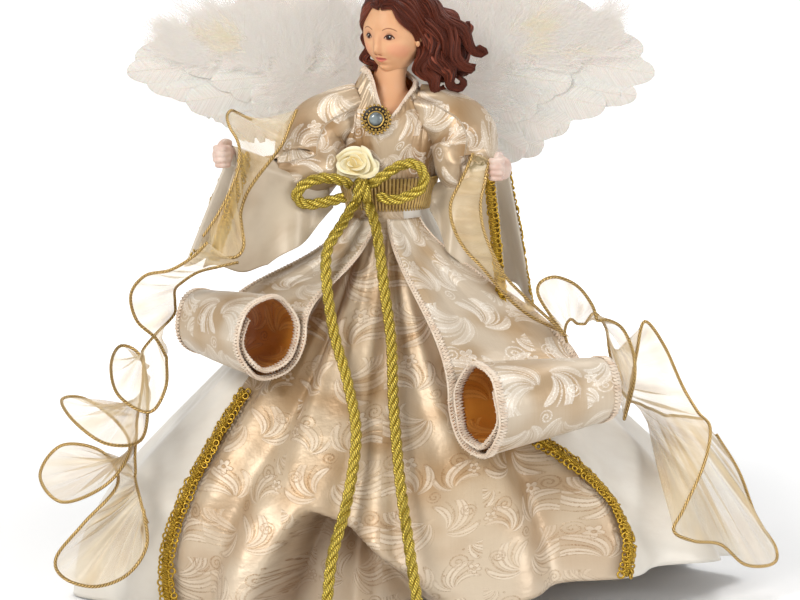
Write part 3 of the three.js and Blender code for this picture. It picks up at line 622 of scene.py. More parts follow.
def skin_material():
    """Painted resin; the face is painted in the head's own millimetres."""
    m = Mat("doll_skin", 0.45, 0.0, Subsurface_Weight=0.12, Specular_IOR_Level=0.25)
    m.put("Subsurface Radius", SKIN_DEPTHS)
    m.put("Subsurface Scale", SKIN_SCALE)
    v, x, y, z = m.coords(attribute="head")
    front = y.step(-4.0, -8.0)
    side = x.abs()
    z = z + FACE_LOW
    base = m.mix(lin(230, 178, 136), lin(219, 163, 120), m.noise(v, 0.08, 3.0).step(0.3, 0.8))

    def spot(cx, cz, wx, wz, soft=0.35):
        a = (side - cx) / wx
        b = (z - cz) / wz
        return (a * a + b * b).step(1 + soft, 1 - soft) * front

    base = m.mix(base, lin(232, 142, 116), spot(10.8, -7.5, 5.0, 4.0, 0.95) * 0.4)
    # Painted shade along the sides of the nose.
    painted_nose_shade = (side - 2.1).band(0.9, 0.8) * z.step(-10.4, -8.8) * z.step(2.5, -2.0) * front
    base = m.mix(base, lin(192, 128, 92), painted_nose_shade * 0.4)
    ex = (side - 7.0) / 2.7
    lid = (ex * ex * -1.0 + 1.0).most(0.0) * 1.08
    ez = z + 0.1
    white = (
        (ez - lid * 1.55).step(0.25, -0.15) * (ez + lid * 1.1).step(-0.25, 0.15) * ex.abs().step(1.05, 0.95)
        * front
    )
    base = m.mix(base, lin(198, 136, 106), spot(7.1, 0.8, 5.0, 3.2, 0.9) * 0.4)
    base = m.mix(base, lin(214, 184, 158), white)
    base = m.mix(base, lin(84, 36, 12), spot(6.9, 0.2, 1.65, 1.65, 0.15) * white)
    base = m.mix(base, lin(14, 5, 2), spot(6.9, 0.2, 1.0, 1.0, 0.2) * white)
    lash = (ez - lid * 1.62).band(0.5) * ex.abs().step(1.15, 1.0) * front
    base = m.mix(base, lin(40, 16, 8), lash)
    base = m.mix(
        base, lin(140, 84, 60), (ez - lid * 2.3 - 0.3).band(0.2) * ex.abs().step(1.1, 0.8) * front * 0.7,
    )
    base = m.mix(base, lin(132, 76, 54), (ez + lid * 1.15).band(0.2) * ex.abs().step(1.1, 0.9) * front * 0.7)
    bx = (side - 7.2) / 4.0
    brow = (z + bx * bx * 1.7 - 5.6).band(0.34) * bx.abs().step(1.05, 0.85) * front
    base = m.mix(base, lin(138, 84, 56), brow * 0.85)
    lx = side / 3.9
    upper = (z + 12.9 - (lx * lx * -1.0 + 1.0) * 1.2 + (lx * -6.0 + 1.0).most(0.0) * 0.35).step(0.25, -0.25)
    lower = (z + 13.1 + (lx * lx * -1.0 + 1.0) * 1.7).step(-0.25, 0.25)
    lips = upper * lower * lx.step(1.02, 0.9) * front
    base = m.mix(base, lin(208, 108, 98), lips * 0.85)
    base = m.mix(
        base, lin(150, 62, 52), (z + 13.0 - lx * lx * 0.5).band(0.26) * lx.step(1.0, 0.8) * front * 0.8,
    )
    # Painted shade under the nose.
    base = m.mix(base, lin(172, 98, 70), spot(1.5, -10.4, 1.0, 0.55, 0.5) * 0.8)
    glint = ((side - 7.3) * (side - 7.3) + (z - 0.7) * (z - 0.7)).step(0.1, 0.04) * front
    m.put("Base Color", m.mix(base, lin(255, 255, 255), glint))
    m.bump(m.noise(v, 0.9, 3.0), 0.06, 0.3)
    return m.mat


def hair_material():
    m = Mat("doll_hair", 0.42, 0.0, Specular_IOR_Level=0.25)
    _, x, y, _ = m.coords()
    comb = m.noise(m.join(x * 3.2, y * 0.05), 1.0, 3.0, 0.6)
    fine = (x * (math.pi * 2 / TUBE_ROUND * 9) + m.noise(m.join(x * 0.3, y * 0.09), 1.0, 2.0) * 6.0).sin()
    share = comb * 0.7 + fine * 0.18
    base = m.mix(lin(58, 20, 11), lin(142, 68, 44), share.step(0.15, 0.6))
    # Painted highlights on the lightest comb streaks.
    m.put("Base Color", m.mix(base, lin(176, 102, 72), share.step(0.5, 0.8) * 0.7))
    m.bump(comb * 0.6 + fine * 0.4, 0.5, 0.9)
    return m.mat


def feather_material(name, light, shade, barb, alpha=1.0):
    m = Mat(name, 0.7, 0.0, Sheen_Weight=0.3)
    _, x, y, _ = m.coords()
    sweep = y - x.abs() * 0.6
    tone = m.noise(m.join(x * 0.05, sweep * 1.4), 1.0, 3.0)
    m.put("Base Color", m.mix(light, shade, tone.step(0.3, 0.75)))
    m.bump(m.noise(m.join(x * 0.08, sweep * 2.2), 1.0, 2.0) + (sweep * 5.0).sin() * 0.15, barb, 0.6)
    if alpha < 1:
        m.put("Alpha", alpha)
    m.put("Subsurface Weight", 0.15)
    m.put("Subsurface Scale", 0.003)
    # Painted light: a faint glow stands in for light shining through the feathers.
    m.put("Emission Color", (1.0, 0.97, 0.93, 1.0))
    m.put("Emission Strength", 0.09)
    return m.mat


def plain(name, colour, shade, rough, metal=0.0, scale=60.0, deep=0.1):
    """For the pieces of the frame itself, most of them inside."""
    m = Mat(name, rough, metal)
    n = m.noise(m.coords("Object")[0], scale, 4.0)
    m.put("Base Color", m.mix(colour, shade, n.step(0.3, 0.75)))
    m.bump(n, deep, 0.5)
    return m.mat


def stone_material():
    m = Mat("cabochon_grey", 0.08, 0.0, Coat_Weight=0.6)
    cloud = m.noise(m.coords("Object")[0], 160.0, 2.0)
    m.put("Base Color", m.mix(lin(126, 138, 140), lin(54, 60, 62), cloud.step(0.35, 0.7)))
    return m.mat


def hand_material():
    m = Mat("doll_hand", 0.42, 0.0, Subsurface_Weight=0.05)
    m.put("Subsurface Radius", SKIN_DEPTHS)
    m.put("Subsurface Scale", SKIN_SCALE)
    v = m.coords("Object")[0]
    m.put(
        "Base Color",
        m.mix(lin(226, 202, 188), lin(214, 180, 164), m.noise(v, 130.0, 3.0).step(0.35, 0.75)),
    )
    m.bump(m.noise(v, 700.0, 2.0), 0.05, 0.3)
    return m.mat


SKIN = skin_material()
HAIR = hair_material()
FEATHER = feather_material("feather_white", lin(226, 221, 214), lin(208, 200, 190), 0.4)
DOWN = feather_material("down_white", lin(238, 234, 229), lin(222, 215, 206), 0.05, 0.5)
WARM_DOWN = feather_material("down_cream", lin(244, 233, 206), lin(234, 220, 190), 0.05, 0.3)
QUILL = feather_material("feather_quill", lin(236, 230, 218), lin(224, 214, 198), 0.05)
STONE = stone_material()
HAND = hand_material()


# Skirt

WAIST_Z, WAIST_HALF_WIDE, WAIST_HALF_DEEP = 232.0, 23.9, 23.4
HEM_HALF_RIGHT, HEM_HALF_LEFT, HEM_HALF_DEEP = 184, 206, 135
HEM_LIFT, LIFT_ANGLE, LIFT_SPAN = 25, 55, 80
FLARE = 1.4
ARCH_ANGLE, ARCH_TOP, ARCH_DEPTH = -17, 0.7, 0.32
CREASE_DEPTH, CREASE_OUT, GATHER_DEPTH = 0.048, 0.014, 0.016
SEAM_RIGHT, SEAM_LEFT = (-70, -47), (20, 22, 24, 26.5, 30, 35, 40.5, 47, 50.5, 48.5, 44)
CREASES = np.r_[rng.uniform(-180, 180, 26), (-47, -37, -27, -4.5, 11, 20, 30, 40)]
DEPTHS = np.r_[rng.uniform(0.2, 0.8, 26), (1.2, 1.6, 1.0, 1.6, 1.4, 0.5, 0.9, 1.0)]
WIDTHS = np.r_[rng.uniform(4.0, 8.0, 26), (6, 5.5, 5, 4.2, 5.5, 7, 7, 6)]


def hem_end(a):
    """Where the hem lies, as a share of the waist's height; it lifts off the floor on the left."""
    lift = np.cos(np.pi / 2 * np.clip((a - LIFT_ANGLE) / LIFT_SPAN, -1, 1)) ** 2
    return 1 - (1 + HEM_LIFT * lift) / WAIST_Z


def seam_at(seam, v):
    """A seam's angle down the skirt, eased between its even steps."""
    k = np.linspace(0, 1, len(seam))
    return sum(np.interp(s, k, seam) for s in (v - 0.02, v, np.minimum(v + 0.02, 1))) / 3


def hem_half_wide(side):
    return np.where(side > 0, HEM_HALF_LEFT, HEM_HALF_RIGHT)


def below_arch(a, t):
    """How far a place lies below the arch in the front hem, as a share of the skirt's height."""
    off = a - ARCH_ANGLE
    return t - ARCH_TOP - 0.075 * np.where(a < ARCH_ANGLE, (off / 5.2) ** 2, np.abs(off / 13) ** 1.5)


def skirt(a, v, out=0.0, creased=1.0):
    """Angle in degrees from the front, v from waist to hem. Creases lie about the CAD's folds."""
    a = (np.asarray(a, float) + 180) % 360 - 180
    t = np.maximum(v, 0) * hem_end(a)
    flare = np.sin(np.pi / 2 * t**FLARE)
    fold = 1 - 0.04 * t**1.5 * np.cos(np.radians(15 * (a - 9)))
    deep = 0.0
    for c, d, w in zip(CREASES, DEPTHS, WIDTHS):
        off = (a - c - 5 * np.sin(3 * t + c) + 180) % 360 - 180
        deep = deep + d * np.exp(-((off / (w * (0.6 + 0.6 * t))) ** 2))
    gather = GATHER_DEPTH * (0.5 + 0.5 * np.cos(np.radians(37 * a + 60 * t)))
    gather = gather * smooth(0, 0.1, t) * smooth(0.75, 0.3, t)
    deep = (deep * CREASE_DEPTH - CREASE_OUT) * smooth(0.02, 0.35, t) + gather
    deep = deep + ARCH_DEPTH * smooth(0.0, 0.045, below_arch(a, t))
    fold = fold - deep * creased
    x = (lerp(WAIST_HALF_WIDE, hem_half_wide(a), flare) * fold + out) * np.sin(np.radians(a))
    y = -(lerp(WAIST_HALF_DEEP, HEM_HALF_DEEP, flare) * fold + out) * np.cos(np.radians(a))
    return np.stack([x, y, WAIST_Z * (1 - t)], -1)


def panel(name, node, start, end, materials, cols):
    """A panel of the skirt between two seams; its second material is the inside."""

    def angle(u, v):
        return lerp(seam_at(start, v), seam_at(end, v), u)

    def size(u, v):
        t = np.sin(np.pi / 2 * v**FLARE)
        mid = (start[-1] + end[-1]) / 2
        return np.stack([np.radians(angle(u, v) - mid) * lerp(28, 170, t), v * 300], -1)

    s = Soup().sheet(lambda u, v: skirt(angle(u, v), v, 0.4), cols, 90, size, 0, False, True)
    return mesh(name, s, materials, "figure", (node,), 0.8, 0.0, 1)


def mark_painted_fold_shade(o):
    """Marks where the front panel folds under its arch, for painted shade in the brocade there."""
    co = np.zeros(len(o.data.vertices) * 3)
    o.data.vertices.foreach_get("co", co)
    x, y, z = (co.reshape(-1, 3) / MM - (AXIS_X, 0, 0)).T
    a = np.degrees(np.arctan2(x / hem_half_wide(x), -y / HEM_HALF_DEEP))
    low = below_arch(a, 1 - z / WAIST_Z)
    fold = smooth(0.0, 0.04, low) * smooth(0.26, 0.06, low) * smooth(4, -8, a)
    o.data.attributes.new("fold", "FLOAT", "POINT").data.foreach_set("value", fold.astype(np.float32))


FRONT = panel("skirt_front_cloth", "skirt_front", SEAM_RIGHT, SEAM_LEFT, [IVORY, AMBER], 150)
mark_painted_fold_shade(FRONT)
RIGHT = panel("skirt_right_cloth", "skirt_right", (-125, -125), SEAM_RIGHT, [SATIN, SATIN_BACK], 100)
LEFT = panel("skirt_left_cloth", "skirt_left", SEAM_LEFT, (125, 125), [SATIN, SATIN_BACK], 110)
BACK = panel("skirt_back_cloth", "skirt_back", (125, 125), (235, 235), [SATIN, SATIN_BACK], 130)


# Gimp braid: two rows of loops beside a twisted middle

LOOP_PITCH, TWIST_PITCH = 2.9, 4.4


def gimp(soup, line, out, wide=7.6):
    """A braid along a line; out is the way its face looks, one direction for each point."""
    n = max(4, int(length(line) / LOOP_PITCH))
    line, out = resample(line, n), unit(resample(out, n))
    t = unit(np.gradient(line, axis=0))
    side = np.cross(t, out)
    for i in range(n):
        for w in (-1, 1):
            at = line[i] + side[i] * w * wide * rng.uniform(0.36, 0.5) + out[i] * rng.uniform(0.2, 0.8)
            at = at + t[i] * (w * 0.5 + rng.normal(0, 0.3))
            tip = out[i] + side[i] * w * rng.uniform(0.2, 0.7) + t[i] * rng.normal(0, 0.4)
            soup.ring(at, tip, rng.uniform(1.35, 1.9), 0.62, 12, 6, 0, rng.uniform(0.8, 1.1), t[i])
    fine = resample(line, n * 5)
    up = resample(out, n * 5)
    lateral = resample(side, n * 5)
    turn = np.linspace(0, length(line) / TWIST_PITCH * 2 * np.pi, len(fine))[:, None]
    for k in (-0.24, 0.24):
        soup.tube(fine + up * 0.1 + lateral * wide * k, 1.0, 6)
    for k in (0, np.pi):
        soup.tube(fine + up * (0.9 + 0.6 * np.sin(turn + k)) + lateral * np.cos(turn + k), 1.05, 7)
    return soup


def seam_line(seam, inward, start):
    """The braid's line beside a seam, and the way its face looks."""
    v = np.linspace(start, 0.985, 90)
    a = seam_at(seam, v)
    base = skirt(a, v, 1.2, 0.6)
    ahead = skirt(a + 1.0, v, 1.2, 0.6)
    along = unit(np.gradient(base, axis=0))
    across = unit(ahead - base)
    out = unit(np.cross(along, across))
    out = out * np.sign((out * (base * (1, 1, 0))).sum(1))[:, None]
    return base + across * inward * 6.0, out


for side, seam, inward, start in (("right", SEAM_RIGHT, 1, 0.46), ("left", SEAM_LEFT, -1, 0.62)):
    line, out = seam_line(seam, inward, start)
    mesh(f"skirt_{side}_gimp", gimp(Soup(), line, out), GIMP, "figure", (f"skirt_{side}_braid",))


# Bodice, collar, waistband

TORSO = np.array([
    [216.4, 19.5, 19], [232, 20.5, 20], [252, 26, 21], [272, 28, 20], [284, 25, 18], [294, 21, 15],
    [300, 14, 12], [304, 10, 10],
])


def torso(a, z, grow=0.0):
    w = np.interp(z, TORSO[:, 0], TORSO[:, 1])
    d = np.interp(z, TORSO[:, 0], TORSO[:, 2])
    a = np.radians(a)
    return np.stack([(w + grow) * np.sin(a), -(d + grow) * np.cos(a), np.broadcast_to(z, a.shape)], -1)


NECK = np.array([
    [-8, -1, -22.3, 284.5], [-14, -4.5, -20.8, 291], [-24, -7, -17.5, 299], [-36, -8.8, -14, 306],
    [-55, -11, -9, 311], [-90, -14, -1, 313], [-130, -11, 9, 313], [-180, 0, 13.5, 312], [-230, 11, 9, 309],
    [-270, 16, 0, 305], [-300, 15, -8, 302], [-330, 11, -15, 297], [-346, 6, -20, 290],
    [-358, 2, -22.2, 285.5], [-368, -1, -22.3, 284.5],
])


def neckline(a):
    """The bodice's top edge: it stands up beside the neck and meets in a narrow V under the brooch."""
    b = np.where(a > -8, a - 360, a)
    return np.stack([np.interp(-b, -NECK[:, 0], NECK[:, k]) for k in (1, 2, 3)], -1)


def bodice(u, v):
    a = u * 360 - 180
    top = neckline(a)
    reach = np.minimum(top[:, 2] - 6, 288)
    z = lerp(224.0, reach, np.clip(v / 0.78, 0, 1))
    p = torso(a, z, 2.6)
    pull = np.arctan2(p[:, 2] - 306, p[:, 0] + 16)
    fold = 0.9 * np.sin(pull * 24) * smooth(258, 282, z) * smooth(6, -8, p[:, 0]) * smooth(12, -4, p[:, 1])
    pull = np.arctan2(p[:, 2] - 302, p[:, 0] - 22)
    fold = fold + 0.7 * np.sin(pull * 21) * smooth(254, 284, z) * smooth(-2, 14, p[:, 0])
    fold = fold + 0.6 * np.sin(np.radians(a) * 31) * smooth(266, 246, z)
    low = torso(a, z, 2.9 + np.abs(fold) * 1.4)
    t = smooth(0, 1, np.clip((v - 0.78) / 0.22, 0, 1))[:, None]
    crest = np.sin(np.radians(a) * 22)[:, None] * unit(low * (1, 1, 0)) * 0.7 * np.sin(np.pi * t)
    return low * (1 - t) + top * t + crest


mesh(
    "bodice_cloth", Soup().sheet(bodice, 220, 80, (200, 92), 0, True), [GOWN, AMBER], "figure", ("bodice",),
    0.7, -1, 1,
)


def stitches(soup, edge, inside, pitch, thick, lift=0.9):
    """Overlocking: thread that goes over a cloth's edge again and again, as far as a line inside it."""
    n = max(6, int(length(edge) / pitch))
    edge, inside = resample(edge, n), resample(inside, n)
    t = unit(np.gradient(edge, axis=0))
    up = unit(np.cross(t, inside - edge)) * lift
    for way in (1, -1):
        line = np.empty((2 * n, 3))
        line[0::2] = edge - (inside - edge) * 0.12
        line[1::2] = inside + t * pitch * 0.4
        line[:] += np.repeat(up * way, 2, 0)
        soup.tube(resample(line, 6 * n), thick, 5)
    return soup.tube(resample(edge, n * 2), thick * 1.5, 6)


edge_a = np.linspace(-8, -367.9, 150)
edge = neckline(edge_a)
under = bodice((edge_a % 360 + 180) % 360 / 360, np.full(150, 0.955))
mesh(
    "collar_serging", stitches(Soup(), edge, under + unit(edge - under) * -0.5, 1.9, 0.5, 0.8), SERGE,
    "figure", ("collar",),
)


def band(u, v):
    a = u * 360
    ridge = np.abs(np.sin(np.radians(a) * (PLEATS / 2)))
    return torso(a, lerp(229.6, 249, v), 4.2 + 1.0 * ridge + 0.5 * np.sin(np.pi * v))


mesh(
    "waistband_cloth", Soup().sheet(band, 768, 8, (BAND_RUN, 17), 0, True), BAND, "figure", ("waistband",),
    0.8, -1,
)


# Brooch and rose

def brooch():
    s = Soup()
    at = np.array([-7.0, -24.6, 284.0])
    face = unit((-0.1, -1.0, 0.25))
    x = unit(np.cross((0, 0, 1), -face))
    z = np.cross(-face, x)
    s.ring(at - face * 0.4, face, 7.3, 0.45, 40, 8)
    s.ball(at - face * 1.2, (8.2, 1.2, 8.2), 28, 8, 1)
    for big, r, k in ((8.4, 0.95, 22), (6.2, 0.8, 18)):
        for i in range(k):
            b = 2 * np.pi * (i + 0.5 * (big < 7)) / k
            s.ball(
                at + x * big * np.cos(b) + z * big * np.sin(b) + face * (0.5 if big < 7 else 0.0),
                (r, r, r), 8, 6,
            )
    s.ring(at + face * 0.9, face, 4.5, 0.55, 36, 6)
    mesh("brooch_bezel", s, [OLD_GOLD, RECESS], "figure", ("brooch_setting",))
    mesh(
        "brooch_cabochon", Soup().ball(at + face * 0.8, (4.2, 2.4, 4.2), 32, 20), STONE, "figure",
        ("brooch_stone",),
    )


brooch()


# Rings of petals: radius, height, count and spread of each
ROSE_RINGS = ((1.6, 5.4, 2, 3.6), (4.0, 5.0, 3, 2.6), (6.8, 3.8, 3, 2.6), (9.2, 1.8, 4, 2.0))


def rose():
    """A folded ribbon rose: a spiral of overlapping petals, two long outer petals and two satin leaves."""
    s = Soup()
    at = np.array([-19.4, -27.0, 258.6])
    turn = math.radians(-20)
    right = np.array([math.cos(turn), math.sin(turn), 0.0])
    face = np.array([math.sin(turn), -math.cos(turn), 0.12])
    up = np.array([0.0, 0.0, 1.0])

    def place(x, y, z):
        return at + x[:, None] * right + y[:, None] * up + z[:, None] * face

    def petal(mid, spread, r, low, high, curl):
        def point(u, v):
            b = mid + (u - 0.5) * spread
            lip = smooth(0.6, 1.0, v)
            crown = 1 - 0.62 * np.abs(2 * u - 1) ** 1.8
            curled = curl * lip * (1 + 0.5 * np.sin(7 * u + 3 * mid))
            rr = r * (0.5 + 0.5 * np.sin(np.pi / 2 * v)) + curled + 1.2 * (u - 0.5)
            zz = low + (high - low) * v * crown - curl * 0.7 * lip**2
            return place(rr * np.cos(b) * 1.3, rr * np.sin(b) * 0.88, zz)

        s.sheet(point, 20, 14, (24, 14))

    for ring, (r, high, k, spread) in enumerate(ROSE_RINGS):
        for i in range(k):
            mid = 2 * np.pi * (i + 0.37 * ring) / k + 0.4 + rng.normal(0, 0.15)
            petal(mid, spread, r * rng.uniform(0.9, 1.1), -3.0, high + rng.normal(0, 0.4), 0.6 + 0.5 * ring)
    for mid, reach in ((np.pi + 0.05, 14.6), (-0.02, 14.6)):
        def point(u, v, mid=mid, reach=reach):
            w = (u - 0.5) * 11.5 * np.sqrt(np.clip(1 - v**1.7, 0, 1))
            x = v * reach * math.cos(mid)
            return place(x, w + v * reach * math.sin(mid), 1.8 - 4.5 * v + 1.6 * np.cos(w * 0.5) * (1 - v))
        s.sheet(point, 14, 16, (12, 16))
    mesh("rose_petals", s, CREAM, "figure", ("rose",), 0.35)
    s = Soup()
    for mid, reach in ((-1.95, 13.5), (-1.1, 12.5)):
        def point(u, v, mid=mid, reach=reach):
            w = (u - 0.5) * 8.0 * np.sin(np.pi * np.clip(v, 0, 1) ** 0.7) ** 0.8
            d = v * reach
            x = d * math.cos(mid) - w * math.sin(mid)
            y = d * math.sin(mid) + w * math.cos(mid)
            return place(x, y, -1.5 - 2.5 * v + np.abs(w) * 0.3)
        s.sheet(point, 10, 16, (8, 14))
    mesh("rose_leaves", s, SATIN, "figure", (), 0.35)


rose()


# Gold cord bow

CORD_D = 6.8


def rope(soup, line, d=CORD_D, pitch=20.0, strands=3):
    """Strands wound round a line, which is the cord's own middle."""
    fine = resample(line, max(8, int(length(line) / 0.9)))
    _, a, b = frames(fine)
    r = d * 0.255
    turn = np.linspace(0, length(line) / pitch * 2 * np.pi, len(fine))[:, None]
    for k in range(strands):
        w = turn + 2 * np.pi * k / strands
        soup.tube(fine + (a * np.cos(w) + b * np.sin(w)) * (d / 2 - r), r, 10)
    return soup


def cord(name, node, points):
    line = curve(points, 1.0)
    o = mesh(name, rope(Soup(), line), ROPE, "figure", (node,))


def end_knot(name, node, at):
    s = Soup()
    b = np.linspace(0, 2 * np.pi, 90)
    line = (
        np.stack([np.sin(b) + 2 * np.sin(2 * b), np.cos(b) - 2 * np.cos(2 * b), -np.sin(3 * b) * 1.3], 1)
        * (1.15, 0.75, 1.5)
    )
    rope(s, line[:-1] + at, 4.4, 15.0)
    s.ball(np.asarray(at), (3.0, 2.6, 3.6), 10, 8)
    return mesh(name, s, ROPE, "figure", (node,))


KNOT = np.array([-15.5, -28.4, 241.5])
R_LOOP = [
    [-22.5, -30, 246.4], [-30, -36, 250], [-40, -37, 250.6], [-49, -37.5, 247], [-53.5, -37.5, 240.5],
    [-48.5, -37, 235.6], [-38, -36, 236.4], [-25.9, -31.3, 238.7],
]
L_LOOP = [
    [-9.9, -29.7, 246.1], [-2, -34, 252.5], [7, -35.5, 258], [15.5, -36, 259], [21, -36, 253],
    [19, -36, 244.5], [10, -36, 239.5], [2, -34.5, 237.8], [-5.7, -30.9, 239.5],
]
R_TAIL = [
    [-19.6, -30.5, 235.4], [-26.5, -39.6, 224.5], [-35, -51, 211], [-35.5, -61, 193], [-31, -69, 164],
    [-23, -80, 137], [-18, -99, 110], [-23, -118, 76], [-31, -132, 48], [-34, -140, 22], [-34, -141, 14.5],
]
L_TAIL = [
    [-11.8, -30.2, 234.9], [-7.6, -38.6, 224.5], [-5, -43, 210], [-2, -52, 187], [2, -67, 159],
    [3, -84, 131.5], [4, -93, 118], [7, -112, 87], [12, -130, 54], [16, -139, 28], [18, -141, 14.5],
]
knot_r = end_knot("bow_tail_right_end", "right_tail_knot", (-34, -141, 7.8))
knot_l = end_knot("bow_tail_left_end", "left_tail_knot", (18, -141, 7.8))
cord("bow_loop_right", "bow_right_loop", R_LOOP)
cord("bow_loop_left", "bow_left_loop", L_LOOP)
cord("bow_tail_right", "right_tail", R_TAIL)
cord("bow_tail_left", "left_tail", L_TAIL)
knot = Soup()
b = np.linspace(-0.9, 2 * np.pi - 0.9, 40)
for dx, tilt in ((-2.2, 0.25), (2.6, -0.2)):
    wrap = np.stack([dx + tilt * 5 * np.sin(b), -5.2 * np.cos(b), 6.0 * np.sin(b)], 1)
    rope(knot, KNOT + wrap, 6.2, 18.0)
knot.ball(KNOT, (6, 4, 5), 14, 10)
mesh("bow_knot_wrap", knot, ROPE, "figure", ("bow_knot",))


# Brocade drapes that end in scrolls

DRAPES = {
    "right": ((-67.6, -80, 165), (-111, -32, 167), (-15, -55), (27, 20)),
    "left": ((50, -112, 129), (125, -69, 133), (0, 40), (30, 20)),
}
SCROLL_STEP, TURNS, HANG = 0.2, 1.6, 0.38
DRAPE_COLS, DRAPE_ROWS = 44, 190


def drape(side, across, along):
    near, far, waist, fat = (np.array(q, float) for q in DRAPES[side])
    across, along = np.asarray(across, float), np.asarray(along, float)
    centre = near + (far - near) * across[:, None]
    w = unit(far - near)
    out = unit((w[1], -w[0], 0.0))
    out = out * np.where((centre * out).sum(1) >= 0, 1, -1)[:, None]
    turn = np.maximum(along - HANG, 0) / (1 - HANG) * TURNS * 2 * np.pi
    full = lerp(fat[0], fat[1], across)[:, None]
    r = full * (1 - SCROLL_STEP * turn / (2 * np.pi))[:, None]
    loose = smooth(0, 2.0, turn)
    uneven = 0.03 * np.sin(2.3 * turn + 4 * across) + 0.025 * np.sin(4.1 * turn - 3 * across)
    r = r * (1 + loose * uneven)[:, None]
    roll = centre - out * r * np.cos(turn)[:, None] - (0, 0, 1) * r * np.sin(turn)[:, None]
    roll = roll + w * (loose * (1 - across) * (1.6 * np.sin(1.4 * turn) + 0.9 * np.sin(5.0 * turn)))[:, None]
    a = lerp(waist[0], waist[1], across)
    start = skirt(a, np.full_like(a, 0.03), 3.4)
    lead = skirt(a, np.full_like(a, 0.16), 7.0)
    end = centre - out * full
    approach = end + np.stack([0 * a, 0 * a, (start[:, 2] - end[:, 2]) * 0.4], 1)
    t = np.clip(along / HANG, 0, 1)[:, None]
    hang = start * (1 - t) ** 3 + lead * 3 * t * (1 - t) ** 2 + approach * 3 * t * t * (1 - t) + end * t**3
    wave = np.sin(np.pi * across * 3.2 + 0.6) * np.sin(np.pi * t[:, 0]) * 2.2
    hang = hang + out * np.maximum(wave, -0.6)[:, None]
    return np.where(along[:, None] < HANG, hang, roll)


drapes = {}
for side in DRAPES:
    s = Soup()
    s.sheet(
        lambda u, v, side=side: drape(side, u, v), DRAPE_COLS, DRAPE_ROWS, (66, 330), 0, False,
        side == "left",
    )
    # The roll's faces swap sides so the amber reverse shows inside the scroll; its darkness is partly painted
    # shade.
    s.m = [1 if k // DRAPE_COLS > DRAPE_ROWS * HANG else 0 for k in range(len(s.f))]
    o = mesh(
        f"{side}_drape_cloth", s, [SILVER, AMBER, SILVER], "figure", (f"{side}_drape",), 0.9,
        0.0, 1,
    )
    s = Soup()
    for across, into in ((0.0, 0.06), (1.0, 0.94)):
        v = np.linspace(0.0, 1, 260)
        stitches(s, drape(side, np.full_like(v, across), v), drape(side, np.full_like(v, into), v), 2.0, 0.5)
    e = mesh(f"{side}_drape_serging", s, SERGE, "figure", (f"{side}_drape_edging",))
    drapes[side] = o, e


# Organza ribbons

def strip(lengths, across, belly):
    """A bellied ribbon between two edges, as rows of points. Each length has two edges and a row count."""
    a = np.vstack([curve(o, count=k)[1 if n else 0 :] for n, (o, i, k) in enumerate(lengths)])
    b = np.vstack([curve(i, count=k)[1 if n else 0 :] for n, (o, i, k) in enumerate(lengths)])
    u = np.linspace(0, 1, across + 1)
    mid = np.cross(unit(np.gradient(a, axis=0)), b - a)
    run = np.linspace(0, length(a), len(a))
    ripple = (np.sin(run * 2 * np.pi / 15) + 0.6 * np.sin(run * 2 * np.pi / 9.3 + 1))[:, None, None]
    rows = a[:, None] + (b - a)[:, None] * u[:, None]
    rows = rows + unit(mid)[:, None] * np.sin(np.pi * u)[:, None] * belly * (0.5 + 0.6 * ripple)
    return rows, a, b


def ribbon(name, node, body, lengths, across, belly, blend=None, sheer=SHEER):
    rows, a, b = strip(lengths, across, belly)
    count = len(a)
    wide = np.linalg.norm(np.diff(rows, axis=1), axis=2).sum(1).mean()
    run = max(length(a), length(b))
    u, v = np.meshgrid(np.linspace(0, 1, across + 1), np.linspace(0, 1, count))
    s = Soup().add(
        rows.reshape(-1, 3), grid_faces(across + 1, count),
        np.stack([u.ravel() * wide, v.ravel() * run], -1),
    )
    cloth_o = mesh(name, s, sheer, None if blend else body, (node,))
    wires = Soup().tube(a, 1.0, 7).tube(b, 0.9, 7)
    wire_o = mesh(name + "_wires", wires, WIRE_GOLD, None if blend else body, ())
    if blend:
        for o in (cloth_o, wire_o):
            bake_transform(o)
    return cloth_o, wire_o, wide


R_TOP = [
    (-104, -66, 217), (-113, -64, 208), (-126, -60, 200), (-141, -55, 196), (-150, -50, 184),
    (-147, -46, 168), (-136, -48, 158), (-129, -56, 148),
]
R_OUT = [
    (-129, -56, 148), (-129, -66, 132), (-138, -74, 119), (-156, -70, 128), (-162, -52, 142),
    (-158, -34, 151), (-146, -36, 145), (-140, -60, 125), (-142, -84, 105), (-161, -92, 104),
    (-180, -84, 115), (-190, -62, 124), (-178, -44, 121), (-159, -46, 107), (-150, -72, 96),
    (-162, -92, 80), (-188, -88, 69), (-203, -66, 80), (-192, -48, 94), (-168, -52, 91), (-156, -84, 79),
    (-174, -104, 60), (-190, -104, 40), (-186, -100, 27), (-168, -104, 23), (-149, -108, 31),
    (-138, -104, 47), (-140, -98, 67),
]
R_TOP_IN = [
    (-86, -70, 206), (-98, -68, 203), (-110, -62, 199), (-120, -57, 192), (-124.5, -46, 186),
    (-125, -40, 178), (-126, -38, 170), (-136, -43, 160),
]
R_IN = [
    (-136, -43, 160), (-144, -43, 150), (-144, -38, 144), (-144, -40, 138), (-144, -48, 130),
    (-145, -56, 121), (-146, -58, 115), (-147, -56, 109), (-147, -58, 103), (-147, -66, 97),
    (-147, -70, 92), (-147, -69, 87), (-147, -68, 83), (-147, -71, 79), (-145, -80, 75), (-143, -87, 71),
    (-142, -89, 68), (-141, -91, 65), (-140, -93, 62), (-139, -94, 60), (-138, -95, 58),
]
L_TOP = [
    (103.7, -58, 160.6), (94, -57, 173.6), (87.3, -54, 185), (89, -52, 191.8), (98, -50, 194.5),
    (110.3, -48, 189), (119, -47, 178), (122.5, -46, 168),
]
